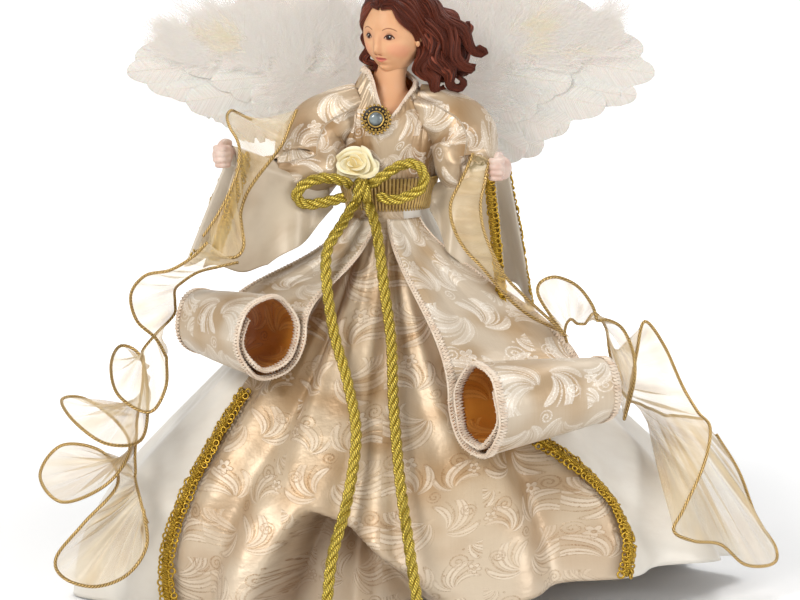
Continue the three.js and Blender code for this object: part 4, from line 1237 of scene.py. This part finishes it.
L_OUT = [
    (122.5, -46, 168), (129, -44, 168), (138, -40, 162), (144, -44, 148), (144, -52, 133), (138, -56, 111),
    (143, -40, 128), (147, -30, 146), (152, -24, 164), (164, -20, 149), (175, -24, 125), (183, -38, 112),
    (189, -52, 105), (184, -66, 86), (171, -84, 64), (165, -88, 52), (177, -84, 45), (194, -72, 40),
    (210, -60, 25), (228, -46, 22), (231, -34, 29), (220, -26, 46), (210, -20, 72), (196, -20, 95),
]
L_TOP_IN = [
    (104, -60, 157.5), (103, -56, 162), (104, -50, 166), (106, -45, 168), (108, -42, 168), (111, -38, 165),
    (116, -34, 164),
]
L_IN = [
    (116, -34, 164), (122, -31, 170), (129, -26, 160), (131, -31, 146), (136, -37, 128), (142, -34, 119),
    (146, -28, 116), (150, -23, 114), (154, -24, 112), (157, -30, 112), (161, -36, 111), (164, -39, 110),
    (168, -38, 110), (172, -35, 109), (176, -31, 108), (179, -28, 107), (182, -25, 106), (185, -22, 105),
    (188, -19, 104),
]
falls = {
    "right": ribbon(
        "right_fall_organza", "right_ribbon_fall", "figure", [(R_TOP, R_TOP_IN, 60), (R_OUT, R_IN, 270)],
        10, 3.0, ("right_arm", "figure", tuple(world(R_TOP[0])), tuple(world((-135, -50, 165)))),
    ),
    "left": ribbon(
        "left_fall_organza", "left_ribbon_fall", "figure", [(L_TOP, L_TOP_IN, 60), (L_OUT, L_IN, 260)], 10,
        3.0, ("left_arm", "figure", tuple(world(L_TOP[0])), tuple(world((140, -42, 130)))),
    ),
}
R_WRAP = [
    (-53.4, -27, 290), (-58, -34, 279), (-61.5, -40, 271), (-68, -46, 262.5), (-76, -50, 252.5),
    (-82, -53, 243), (-85, -57, 233), (-84, -62, 223.5), (-83, -66, 215), (-87, -68, 209),
    (-96, -67, 208.5), (-105, -63, 210), (-111, -58, 211),
]
R_WRAP_IN = [
    (-80, -26, 284), (-87.5, -32, 288.5), (-91.3, -38, 290.6), (-93.2, -46, 287.5), (-91, -53, 281.8),
    (-87, -57, 275.8), (-85.2, -60, 268.5), (-86.4, -60, 258), (-91.6, -61, 245), (-99, -63, 231.3),
    (-106.7, -63, 220),
]
L_WRAP = [
    (49.5, -42, 266), (46, -45, 258), (41, -49, 248), (36.6, -53, 239), (36.5, -57, 230), (40, -61, 220),
    (46, -64, 211), (54, -66, 203), (63, -66, 192), (72, -64, 182), (83, -61, 173), (94, -58, 167),
    (102, -57, 163),
]
L_WRAP_IN = [
    (59, -45, 263), (56, -53, 250), (53.5, -61, 238), (55, -67, 225), (60, -72, 212), (67, -73, 199),
    (76, -71, 189), (87, -66, 178), (96, -61, 169), (103, -59, 161),
]
wraps = {
    "right": ribbon(
        "right_wrap_organza", "right_ribbon_wrap", "right_arm", [(R_WRAP, R_WRAP_IN, 90)], 10, 2.0, None,
        WARM_SHEER,
    ),
    "left": ribbon(
        "left_wrap_organza", "left_ribbon_wrap", "left_arm", [(L_WRAP, L_WRAP_IN, 100)], 10, 2.0, None,
        WARM_SHEER,
    ),
}


# Arms

ARMS = {
    "right": dict(
        side=-1, fat=(12, 17, 19, 20.5, 20.5, 16, 8.4),
        sleeve=[
            (-15, -1, 291), (-27, -2, 286), (-39, -3, 278), (-45, -7, 266), (-47.5, -13, 254),
            (-62, -21, 253), (-70, -27, 255),
        ],
        bones=[(-54, -15, 252), (-73, -25, 256), (-88, -36, 262), (-93, -41, 264)], hand=(-96, -43, 265),
        start=(-38, -15, 241), end=(-91, -38, 263), drop=(9, 52, 62), lean=(0, -12, -24),
    ),
    "left": dict(
        side=1, fat=(12, 17, 19, 20.5, 20, 15.5, 8.4),
        sleeve=[
            (15, -1, 291), (27, -2, 286), (39, -3, 278), (45, -7, 266), (44, -14, 253), (50, -19, 250),
            (54, -24, 251),
        ],
        bones=[(47, -13, 251), (54, -23, 251), (62, -31, 254), (64, -36, 255.5)], hand=(66, -40, 257),
        start=(30, -9, 238), end=(67, -31, 253), drop=(8, 50, 86), lean=(2, 6, 14),
    ),
}


def three(values, u):
    return np.interp(u, (0, 0.5, 1), values)


def bell_sleeve(arm, u, v, spread=0.0):
    a, b = np.array(arm["start"], float), np.array(arm["end"], float)
    top = a + (b - a) * np.asarray(u)[:, None]
    reach = unit((b - a) * (1, 1, 0))
    front = np.array([reach[1], -reach[0], 0.0])
    front = front * (-1 if front[1] > 0 else 1)
    way = 2 * np.asarray(v) - 1
    r = 8.5 + spread
    turn = np.clip(way / 0.24, -1, 1) * np.pi / 2
    down = np.maximum((np.abs(way) - 0.24) / 0.76, 0)
    wave = (4.2 * np.sin(u * 9 + 1.5 * np.sign(way)) + 2.2 * np.sin(u * 17 + 2.0)) * down
    side = -(r * np.sin(turn) + np.sign(way) * (8 * down + wave * 0.8))
    p = top + front * side[:, None]
    p[:, 0] += three(arm["lean"], u) * down
    p[:, 2] += r * np.cos(turn) - 1.5 - (three(arm["drop"], u) + 2.5 * np.sin(u * 13 + np.sign(way))) * down
    return p


def fist(at, side):
    """A closed hand: palm, four curled fingers, thumb along the top, wrist."""
    s = Soup()
    x, y, z = at
    s.ball((x, y, z), (6.2, 6.0, 7.2), 20, 14)
    reach = unit((side * 0.75, -0.66, 0.0)) if side < 0 else unit((0.35, -0.93, 0))
    across = np.array([reach[1], -reach[0], 0.0])
    across = across * (-1 if across[1] > 0 else 1)
    for i in range(4):
        h = 4.9 - 3.3 * i
        size = (1.0, 1.04, 1.0, 0.86)[i]
        base = np.array(at) + (0, 0, h)
        line = curve(
            [
                base + across * 1.5 + reach * 3.2, base + reach * 7.8 * size + across * 3.4,
                base + reach * 6.4 * size + across * 7.6, base + reach * 1.6 + across * 7.2,
            ],
            0.8,
        )
        s.tube(line, 1.95 * size, 10)
        s.ball(line[0], (1.9,) * 3, 10, 8).ball(line[-1], (1.85 * size,) * 3, 10, 8)
    base = np.array(at) + (0, 0, 6.6)
    line = curve(
        [
            base - reach * 4.5 - across * 0.5, base + reach * 0.5 + across * 2.2 + (0, 0, 1.2),
            base + reach * 4.8 + across * 4.6 + (0, 0, 0.6),
        ],
        0.8,
    )
    s.tube(line, np.linspace(2.6, 1.9, len(line)), 10)
    s.ball(line[-1], (1.9,) * 3, 10, 8).ball(line[0], (2.6,) * 3, 10, 8)
    wrist = np.array(at) - reach * 9.0
    s.tube(np.linspace(wrist, np.array(at), 8), np.linspace(4.2, 5.2, 8), 14)
    return remeshed(s, 0.42, 4)


SLEEVE_ROWS, SLEEVE_COLS = 70, 96


def sleeve(name, arm):
    """A puffed sleeve that bends across the shoulder."""
    axis = curve(arm["sleeve"], count=SLEEVE_ROWS)
    run = np.linspace(0, 1, SLEEVE_ROWS)
    fat = np.interp(run, np.linspace(0, 1, len(arm["fat"])), arm["fat"])
    _, n, b = frames(axis)
    a = np.linspace(0, 2 * np.pi, SLEEVE_COLS, endpoint=False)[None, :]
    s = run[:, None]
    puff = 0.9 * np.sin(9 * a + 5 * s) * (smooth(0.3, 0.05, run) + smooth(0.7, 0.95, run))[:, None]
    puff = puff + 1.0 * np.sin(2 * a + 9 * s) + 0.6 * np.sin(4 * a - 13 * s + 1.0)
    puff = puff - 1.0 * np.abs(np.sin(1.5 * a + 6 * s)) ** 6 * smooth(0, 0.2, run)[:, None]
    w = fat[:, None] + puff
    p = axis[:, None] + n[:, None] * (w * np.cos(a))[..., None] + b[:, None] * (w * np.sin(a))[..., None]
    uv = np.stack(np.broadcast_arrays(a / (2 * np.pi) * 110 + 7, s * length(axis)), -1)
    soup = Soup().add(p.reshape(-1, 3), grid_faces(SLEEVE_COLS, SLEEVE_ROWS, True), uv.reshape(-1, 2))
    o = mesh(f"{name}_sleeve_cloth", soup, [GOWN, GOWN], None, (f"{name}_sleeve",), 0.7, -1, 1)
    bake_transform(o)


def bell_cloth(name, arm):
    s = Soup()
    s.sheet(lambda u, v: bell_sleeve(arm, u, v), 40, 120, (50, 120), 0, False, name == "right")
    node = f"{name}_bell_sleeve"
    return mesh(
        f"{name}_bell_cloth", s, [SHADED_BELL_SATIN, SATIN_BACK], f"{name}_arm", (node,), 0.7, 0.0, 1,
    )


def cuff(name, arm):
    """Gimp down both sides of the bell sleeve's open edge."""
    s = Soup()
    for lo, hi in ((0.03, 0.42), (0.58, 0.97)):
        v = np.linspace(lo, hi, 50)
        line = bell_sleeve(arm, np.full_like(v, 0.93), v, 1.0)
        near = bell_sleeve(arm, np.full_like(v, 0.83), v, 1.0)
        along = unit(np.gradient(line, axis=0))
        out = unit(np.cross(along, line - near))
        away = bell_sleeve(arm, np.full_like(v, 0.93), v, 4.0) - line
        out = out * np.sign((out * away).sum(1))[:, None]
        gimp(s, line + out * 0.8, out, 4.6)
    mesh(f"{name}_cuff_gimp", s, GIMP, f"{name}_arm", (f"{name}_cuff_braid",))


bells = {}
for name, arm in ARMS.items():
    body = f"{name}_arm"
    sleeve(name, arm)
    lower = curve(arm["bones"], count=24)
    s = Soup().tube(lower, np.linspace(6.0, 4.6, 24), 24, 0, (0.3, -1, 0.2), 1.0, 6, 0.04)
    mesh(f"{name}_forearm_cloth", s, SATIN_BACK, body, (f"{name}_arm_padding",))
    mesh(f"{name}_hand_skin", fist(arm["hand"], arm["side"]), HAND, body, (f"{name}_hand",))
    bells[name] = bell_cloth(name, arm)
    cuff(name, arm)


# Head

HEAD_AT = np.array([4.0, -2.0, 334.0])
YAW, LEAN = math.radians(-31), math.radians(2.5)
SKULL_HALF_HIGH = 26
HEAD_COLS, HEAD_ROWS, NECK_COLS = 180, 150, 64
OFF_FACE = (0.0, 40.0, 0.0)


def from_head(q):
    """Head-local points (face towards -y) to the figure's frame."""
    x = q[:, 0] * math.cos(LEAN) + q[:, 2] * math.sin(LEAN)
    z = -q[:, 0] * math.sin(LEAN) + q[:, 2] * math.cos(LEAN)
    c, s = math.cos(YAW), math.sin(YAW)
    return np.stack([x * c - q[:, 1] * s, x * s + q[:, 1] * c, z], 1) + HEAD_AT


def skull(az, el, k=1.0):
    a, e = np.radians(az), np.radians(el)
    z = SKULL_HALF_HIGH * np.sin(e)
    f = np.where(z < 0, 1 - 0.28 * (z / SKULL_HALF_HIGH) ** 2, 1.0) * k
    slim = np.where(z < 0, 1 - 0.2 * (z / SKULL_HALF_HIGH) ** 2, 1.0)
    y = -20.5 * np.cos(a) * np.cos(e)
    return np.stack([18 * np.sin(a) * np.cos(e) * f * slim, np.where(y > 0, y * 1.08, y) * f, z * k], -1)


def face(q):
    """Features raised from the plain head."""
    x, y, z = q[:, 0], q[:, 1], q[:, 2] + FACE_LOW
    s = np.abs(x)
    d = 3.6 * bell(x, z + 8.0, 2.4, 2.9) + 1.7 * bell(x, z + 2.6, 1.9, 4.4)
    d = d + 1.0 * bell(s - 2.5, z + 9.4, 1.2, 1.3)
    d = d - 1.6 * bell(s - 7.2, z - 0.4, 4.0, 3.0) + 0.9 * bell(s - 7.1, z, 2.9, 1.7)
    d = d + 0.7 * bell(s - 6.8, z - 5.2, 4.8, 2.0) + 1.2 * bell(s - 9.5, z + 8.5, 4.5, 4.5)
    d = (
        d + 1.4 * bell(x, z + 12.2, 3.4, 1.0) + 1.4 * bell(x, z + 14.5, 2.9, 1.1)
        - 0.5 * bell(x, z + 13.2, 4.0, 0.4)
    )
    d = d + 2.2 * bell(x, z + 20.0, 4.8, 3.2) - 0.7 * bell(x, z + 16.8, 4.0, 1.0)
    q = q.copy()
    q[:, 1] -= d * smooth(-3, -9, y)
    return q


def bust():
    """Head, neck, chest and ears in one skin, with the head's own millimetres for its paint."""
    az, el = np.meshgrid(np.linspace(-180, 180, HEAD_COLS, endpoint=False), np.linspace(-90, 90, HEAD_ROWS))
    local = face(skull(az.ravel(), el.ravel()))
    s = Soup().add(from_head(local), grid_faces(HEAD_COLS, HEAD_ROWS, True))
    heads = [local]
    z = np.r_[np.linspace(266, 300, 18), np.linspace(302, 330, 15)]
    a = np.radians(np.linspace(0, 360, NECK_COLS, endpoint=False))
    rings = []
    for h in z:
        wide, deep = np.interp(h, TORSO[:, 0], TORSO[:, 1]), np.interp(h, TORSO[:, 0], TORSO[:, 2])
        neck = np.clip((h - 292) / 14, 0, 1)
        rw, rd = lerp(wide, 9.6, neck**0.7), lerp(deep, 9.8, neck**0.7)
        cx = np.interp(h, (296, 308, 322, 330), (0, 1, 4, 4))
        rings.append(np.stack([cx + rw * np.sin(a), -rd * np.cos(a), np.full(NECK_COLS, h)], 1))
    top = (len(z) - 1) * NECK_COLS
    ends = [list(range(NECK_COLS))[::-1], [top + i for i in range(NECK_COLS)]]
    s.add(np.vstack(rings), grid_faces(NECK_COLS, len(z), True) + ends)
    heads.append(np.tile(OFF_FACE, (NECK_COLS * len(z), 1)))
    for w in (-1, 1):
        ear = skull(np.full(1, 84.0 * w), np.full(1, -6.0), 1.0)[0]
        p = Soup().ball((0, 0, 0), (2.0, 3.2, 5.0), 16, 12).points() + ear
        s.add(from_head(p), grid_faces(16, 13, True))
        heads.append(np.tile(OFF_FACE, (len(p), 1)))
    o = mesh("bust_skin", s, SKIN, "figure", ("bust",))
    places = o.data.attributes.new("head", "FLOAT_VECTOR", "POINT")
    places.data.foreach_set("vector", np.vstack(heads).ravel())


bust()


# Hair: combed waves over the head, then free curls

COMB_ROWS, CURL_ROWS = 46, 64
hair = Soup()


def lock(line, radii, ridges=5, flat=0.75):
    k = len(line)
    r = np.interp(np.linspace(0, 1, k), np.linspace(0, 1, len(radii)), radii)
    hair.tube(line, r, 20 if ridges else 8, 0, (0.2, -1, 0.4), flat, ridges, 0.1, rng.uniform(0.6, 1.8))


def combed(az, el, k, radii, wave=0.0, phase=0.0):
    """A wave of hair over the head through points given as turn and height angles."""
    fine = np.linspace(0, 1, COMB_ROWS)
    q = curve(np.stack([az, el, np.full(len(az), 0.0)], 1), count=COMB_ROWS)
    swell = 1 + 0.025 * np.sin(fine * 15 + phase)
    line = from_head(skull(q[:, 0] + wave * np.sin(fine * 13 + phase), q[:, 1], k) * swell[:, None])
    lock(line, radii, 0, 0.9)


for w in (1, -1):
    for i in range(40):
        f = i / 39
        el0 = lerp(31, 84, f)
        start = lerp(3, 60, f**2) * w
        mid = lerp(50, 110, f) * w
        end = lerp(96, 150, f) * w
        low = lerp(1.035, 1.09, smooth(0, 0.35, f)) + 0.012 * math.sin(i * 1.25)
        combed(
            [start, lerp(start, mid, 0.55), mid, lerp(mid, end, 0.6), end],
            [el0, lerp(33, 62, f), lerp(13, 34, f), lerp(-4, 4, f), lerp(-26, -24, f)], low,
            [0.5, 1.3, 1.7, 1.7, 1.2], 2.4 * w, 5.5 * f,
        )
for i in range(-3, 4):
    combed(
        [i * 2.2, i * 3, i * 4, i * 5, i * 6], [33.5 - abs(i) * 0.6, 46, 58, 70, 82], 1.05,
        [0.4, 1.2, 1.7, 1.8, 1.8], 1.5, 2.0,
    )
for i in range(34):
    turn = lerp(112, 248, i / 33)
    combed(
        [turn, turn, turn + 3, turn, turn], [80, 50, 18, -14, -36], 1.08 + 0.012 * math.sin(i * 1.3),
        [1.4, 2.0, 2.2, 2.2, 1.5], 3.0, i * 0.25,
    )
GUIDES = [
    (
        [
            (10, 2, 352), (22, -5, 348), (32, -9, 341), (42, -10, 333), (50, -10, 327), (56, -10, 323),
            (55, -11, 327),
        ],
        [5, 6.6, 7.0, 6.2, 4.6, 2.8, 1.4], 26,
    ),
    (
        [
            (15, -3, 345), (26, -9, 338), (35, -10, 329), (41, -10, 320), (46, -9, 313), (51, -9, 310),
            (50, -10, 314),
        ],
        [5.5, 7.4, 8, 7.2, 5, 3, 1.5], 28,
    ),
    (
        [
            (20, -4, 337), (25, -9, 328), (30, -11, 318), (34, -11, 310), (38, -10, 305), (42, -9, 304),
            (42, -10, 308),
        ],
        [5.5, 7, 8, 7, 5, 3, 1.5], 28,
    ),
    (
        [(20, -5, 332), (21, -8, 324), (22, -10, 316), (24, -11, 308), (28, -10, 303), (33, -9, 303)],
        [4.5, 5.8, 6.4, 5.8, 4, 2], 24,
    ),
    (
        [(16, 0, 350), (28, -5, 345), (38, -7, 339), (45, -7, 335), (50, -7, 336), (49, -8, 340)],
        [5, 6.4, 6, 4.6, 2.8, 1.4], 22,
    ),
    ([(16, 3, 344), (28, 2, 334), (38, 0, 324), (44, -1, 315), (46, -3, 308)], [7, 8.4, 8, 6.4, 3], 26),
    ([(14, 4, 336), (22, 4, 324), (28, 2, 313), (32, 0, 305)], [7, 8, 7, 3], 22),
    ([(-10, 2, 336), (-12, 0, 326), (-11, -2, 317), (-9, -4, 311)], [4, 4, 3.2, 1.4], 16),
]
for points, radii, k in GUIDES:
    line = curve(points, count=CURL_ROWS)
    _, n, b = frames(line, (0, -1, 0.3))
    fine = np.linspace(0, 1, CURL_ROWS)
    sway = np.sin(fine * rng.uniform(11, 15) + rng.uniform(0, 6)) * lerp(0.8, 3.4, fine)
    line = line + b * sway[:, None] + n * (1.6 * np.cos(fine * 13 + rng.uniform(0, 6)))[:, None]
    r = np.interp(fine, np.linspace(0, 1, len(radii)), radii)
    turn = fine * rng.uniform(2.0, 3.4)
    lock(line, list(r * 0.84), 9, 0.9)
    for i in range(k):
        w = turn + 2 * np.pi * (i + rng.uniform(-0.3, 0.3)) / k
        far = r * (0.84 + 0.1 * math.sin(i * 2.1) + 0.06 * np.sin(fine * 11 + i * 0.8))
        lock(
            line + (n * np.cos(w)[:, None] * 0.9 + b * np.sin(w)[:, None]) * far[:, None],
            list(r * rng.uniform(0.11, 0.17) + 0.15), 0, 0.9,
        )
mesh("hair_locks", hair, HAIR, "figure", ("hair",))


# Wings

HINGE = np.array([11.0, 27.7, 279.0])
WING_SWEEP = math.radians(6)
VANE_COLS = 15


def wing_place(side, p):
    """Wing points (x, depth, height, unswept) to the figure's frame."""
    p = np.asarray(p, float)
    x = p[:, 0] - side * HINGE[0]
    a = WING_SWEEP * side
    across = side * HINGE[0] + x * math.cos(a) - p[:, 1] * math.sin(a)
    back = HINGE[1] + x * math.sin(a) + p[:, 1] * math.cos(a)
    return np.stack([across, back, p[:, 2]], 1)


def feather(soup, side, base, tip, wide, deep, bow, rows=64):
    """One feather: a shaft and two vanes whose barbs sweep towards the tip, with a few splits in the edge."""
    base, tip = np.array(base, float), np.array(tip, float)
    run = np.linalg.norm(tip - base)
    along = (tip - base) / run
    cross = np.array([-along[1], along[0]])
    s = np.linspace(0, 1, rows)
    axis = base + np.outer(s, tip - base) + np.outer(np.sin(np.pi * s) * bow, cross)
    axis = axis - np.outer(s, along) * wide * 0.2
    shape = (
        wide * np.minimum(1, 0.3 + 2.6 * s)
        * np.sqrt(np.clip(1 - np.clip((s - 0.6) / 0.4, 0, 1) ** 2.2, 0.01, 1))
    )
    across = np.linspace(-1, 1, VANE_COLS)
    points, uv = np.zeros((rows, VANE_COLS, 3)), np.zeros((rows, VANE_COLS, 2))
    for w in (-1, 1):
        cut = 1 + rng.normal(0, 0.012, rows)
        for k in rng.choice(rows, 4):
            cut[k : k + 2] *= rng.uniform(0.72, 0.92)
        pick = across * w >= 0
        q = np.abs(across[pick])
        wid = np.outer(shape * cut, q)
        sweep = np.outer(shape, q**1.4) * 0.22
        p = axis[:, None] + wid[..., None] * cross * w + sweep[..., None] * along
        depth = deep + 0.9 * np.sin(np.pi * s * 0.9)[:, None] + 0.9 * q**2 + rng.normal(0, 0.04, (rows, 1))
        points[:, pick, 0], points[:, pick, 2] = p[..., 0], p[..., 1]
        points[:, pick, 1] = depth
        uv[:, pick, 0] = wid * w
        uv[:, pick, 1] = (s * run)[:, None]
    soup.add(wing_place(side, points.reshape(-1, 3)), grid_faces(VANE_COLS, rows), uv.reshape(-1, 2))
    shaft = wing_place(
        side, np.stack([axis[:, 0], deep + 0.9 * np.sin(np.pi * s * 0.9) - 0.25, axis[:, 1]], 1),
    )
    soup.tube(shaft, np.linspace(0.45, 0.1, rows), 5, 1)


def plume(soup, side, at, aim, reach, deep, count=70):
    """Marabou: a soft curved stem with fine strands along both its sides."""
    q = rng.random(count) ** 0.8
    bend = rng.normal(0, 0.35)
    stem = aim + bend * q
    x0 = at[0] + reach * 0.62 * q * np.cos(aim + bend * q * 0.5)
    z0 = at[1] + reach * 0.62 * q * np.sin(aim + bend * q * 0.5)
    way = rng.choice([-1, 1], count)
    start = stem + way * (1.15 - 0.55 * q) * rng.uniform(0.4, 1.0, count)
    size = reach * rng.uniform(0.4, 0.85, count) * (1 - 0.35 * q)
    k = 7
    t = np.linspace(0, 1, k)
    turn = (
        start[:, None] - (way * rng.uniform(0.2, 0.9, count))[:, None] * t
        + (rng.normal(0, 0.22, (count, k))).cumsum(1) * 0.35
    )
    step = size[:, None] / (k - 1)
    x = x0[:, None] + np.cumsum(np.cos(turn) * step, 1) - np.cos(turn[:, :1]) * step
    z = z0[:, None] + np.cumsum(np.sin(turn) * step, 1) - np.sin(turn[:, :1]) * step
    y = deep + rng.uniform(-2.2, 0.8, count)[:, None] * t + rng.normal(0, 0.3, (count, 1))
    half = np.linspace(0.12, 0.025, k)[None, :]
    rows = []
    for w in (-1, 1):
        rows.append(np.stack([x - np.sin(turn) * half * w, y, z + np.cos(turn) * half * w], -1))
    p = np.stack(rows, 2).reshape(-1, 3)
    one = np.array([[2 * i, 2 * i + 2, 2 * i + 3, 2 * i + 1] for i in range(k - 1)])
    f = (one[None] + (np.arange(count) * 2 * k)[:, None, None]).reshape(-1, 4).tolist()
    soup.add(
        wing_place(side, p), f,
        np.tile(np.stack([np.repeat(t, 2) * 4, np.repeat(t, 2) * 12], 1), (count, 1)),
    )


WING_TIPS = {
    "right": [
        (-76, 349), (-103, 340), (-127, 333), (-146, 324), (-158, 315), (-163, 306), (-151, 299),
        (-139, 295), (-127, 288), (-117, 283), (-107, 279), (-98, 270), (-84, 274), (-68, 273),
    ],
    "left": [
        (76, 349), (104, 346), (128, 341), (147, 332), (159, 320), (166, 305), (155, 291), (145, 292),
        (136, 285), (125, 283), (114, 273), (106, 270), (97, 258), (87, 256), (75, 246), (60, 252),
    ],
}
for name, tips in WING_TIPS.items():
    side = -1 if name == "right" else 1
    flights, coverts, down, warm = Soup(), Soup(), Soup(), Soup()
    for i, tip in enumerate(tips):
        f = i / (len(tips) - 1)
        base = np.array((side * lerp(24, 28, f), lerp(330, 286, f)))
        tip = np.array(tip, float)
        feather(
            flights, side, base, tip, rng.uniform(12.5, 15), 4.4 - 0.9 * (i % 3) * 0.5,
            side * rng.uniform(2, 6) * (1 - 1.4 * f),
        )
        inner = base + (tip - base) * rng.uniform(0.6, 0.78)
        feather(
            coverts, side, base + (-6 * side, 2), inner + (0, 3), rng.uniform(10, 12.5),
            2.2 - 0.5 * (i % 2), side * rng.uniform(1, 4) * (1 - f), 48,
        )
    for i in range(150):
        f = rng.random() ** 0.9
        x = side * lerp(16, 128, f)
        z = lerp(318, 322, f) + rng.uniform(-20, 20) * (1 - 0.5 * f)
        aim = math.pi / 2 - side * (lerp(-0.3, 1.15, f) + rng.normal(0, 0.25))
        plume(down, side, (x, z), aim, rng.uniform(26, 42) * (1 - 0.25 * f), rng.uniform(-1.6, 0.8), 110)
    for i in range(40):
        plume(
            down, side, (side * rng.uniform(2, 24), rng.uniform(290, 326)),
            math.pi / 2 - side * rng.uniform(-0.6, 0.6), rng.uniform(18, 28), rng.uniform(0.0, 2.5), 110,
        )
    for i in range(9):
        plume(
            warm, side, (side * rng.uniform(70, 104), rng.uniform(318, 334)),
            math.pi / 2 - side * rng.uniform(0.9, 1.5), rng.uniform(20, 30), -2.4, 60,
        )
    for i in range(46):
        f = rng.random()
        x = side * lerp(16, 56, f)
        aim = (0 if side > 0 else math.pi) - side * rng.uniform(-0.15, 0.45)
        plume(
            down, side, (x, 300 + rng.uniform(-10, 12)), aim, rng.uniform(20, 32), rng.uniform(-0.6, 1.0),
            50,
        )
    body = f"{name}_wing"
    mesh(f"{name}_flights", flights, [FEATHER, QUILL], body, (f"{name}_flight_feathers",))
    mesh(f"{name}_coverts", coverts, [FEATHER, QUILL], body, (f"{name}_covert_feathers",))
    down.add(warm.points(), warm.f, np.vstack(warm.uv), 1)
    o = mesh(f"{name}_marabou", down, [DOWN, WARM_DOWN], None, (f"{name}_wing_down",))
    tuple(world((side * 14, 27, 300)))
    tuple(world((side * 44, 27, 300)))
    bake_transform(o)


# Cloth worked out as the flat pieces it was cut from; the lengths are not kept

RIBBON_STOCK, BELL_RUN = 0.0635, 0.05


def declare(o, wide):
    """A flat piece this many metres wide; its length follows from the area of the modelled cloth."""
    a = sum(p.area for p in o.data.polygons)
    round(a / wide, 4)


for o, run in ((FRONT, 0.255), (RIGHT, 0.275), (LEFT, 0.29), (BACK, 0.25)):
    declare(o, run)
for side in ("right", "left"):
    cloth_o, edge_o = drapes[side]
    declare(cloth_o, RIBBON_STOCK)
    declare(bells[side], BELL_RUN)
    for (cloth_o, wire_o, wide), carrier in ((falls[side], "cone"), (wraps[side], f"{side}_arm_wire")):
        declare(cloth_o, wide * MM)


# The frame's own pieces that stay

KEPT = {
    "cone": plain("card_buff", lin(222, 212, 192), lin(206, 194, 172), 0.75, 0.0, 90.0, 0.15),
    "cone_plug": plain("foam_white", lin(238, 236, 230), lin(226, 224, 218), 0.8, 0.0, 300.0, 0.2),
    "spine_dowel": plain("wood_dowel", lin(214, 184, 140), lin(190, 156, 112), 0.6, 0.0, 70.0, 0.1),
    "torso_core": plain("foam_core", lin(240, 236, 228), lin(228, 224, 216), 0.8, 0.0, 300.0, 0.2),
    "wing_bracket": plain("plastic_white", lin(232, 230, 224), lin(224, 222, 216), 0.4, 0.0, 40.0, 0.03),
}
STEEL = plain("steel_wire", lin(168, 170, 172), lin(140, 142, 144), 0.32, 0.9, 200.0, 0.03)
for node in ("shoulder_wire", "right_arm_wire", "left_arm_wire", "right_wing_wire", "left_wing_wire"):
    KEPT[node] = STEEL
for node in ("right_wing_card", "left_wing_card"):
    KEPT[node] = KEPT["cone"]
for node, mat in KEPT.items():
    o = bpy.data.objects[node]
    o.data.materials.clear()
    o.data.materials.append(mat)


# Floor, light and camera

def looked_at(tree):
    """1 where the camera, a gloss or a clear surface looks, 0 for plain light."""
    n = tree.nodes.new("ShaderNodeLightPath")
    a, b, c = (Num(tree, n.outputs[k]) for k in ("Is Camera Ray", "Is Glossy Ray", "Is Transmission Ray"))
    return a.most(b).most(c)


floor = bpy.data.meshes.new("floor")
floor.from_pydata([(-9, -4, 0), (9, -4, 0), (9, 14, 0), (-9, 14, 0)], [], [[0, 1, 2, 3]])
floor_o = bpy.data.objects.new("floor", floor)
scene.collection.objects.link(floor_o)
m = Mat("floor_white", 0.9)
v, x, y, z = m.coords("Object")
away = (x * x + (y - 0.1) * (y - 0.1)).op("SQRT")
m.put("Base Color", lin(250, 250, 250))
m.put("Emission Color", (1.0, 1.0, 1.0, 1.0))
m.put("Emission Strength", away.step(0.1, 0.75) * 0.8 * looked_at(m.tree))
floor.materials.append(m.mat)
floor_o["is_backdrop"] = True

w = bpy.data.worlds.new("studio")
scene.world = w
w.use_nodes = True
w.node_tree.nodes["Background"].inputs["Color"].default_value = (1.0, 1.0, 1.0, 1.0)
w.node_tree.links.new(
    (looked_at(w.node_tree) * 0.68 + 0.32).socket, w.node_tree.nodes["Background"].inputs["Strength"],
)


def lamp(name, at, aim, size, watts, colour=(1, 1, 1)):
    d = bpy.data.lights.new(name, "AREA")
    d.size = size
    d.energy = watts
    d.color = colour
    o = bpy.data.objects.new(name, d)
    scene.collection.objects.link(o)
    o.location = at
    way = unit(np.array(aim, float) - at)
    o.rotation_euler = Vector(way).to_track_quat("-Z", "Y").to_euler()


lamp("key", (-0.9, -1.2, 1.15), (0, 0, 0.17), 0.6, 17.5, (1.0, 0.985, 0.96))
lamp("fill", (1.3, -1.0, 0.6), (0, 0, 0.17), 0.6, 8.5)
lamp("top", (0.2, 0.4, 1.5), (0, 0, 0.2), 0.7, 8.0)

EYE_AT, EYE_DOWN = (-0.007, -1.778, 0.4546), 9
eye = bpy.data.cameras.new("camera")
eye.lens = 135
eye.sensor_width = 36
eye_o = bpy.data.objects.new("camera", eye)
scene.collection.objects.link(eye_o)
eye_o.location = EYE_AT
eye_o.rotation_euler = (math.radians(90 - EYE_DOWN), 0, 0)
scene.camera = eye_o
scene.view_settings.view_transform = "Standard"

low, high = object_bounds()
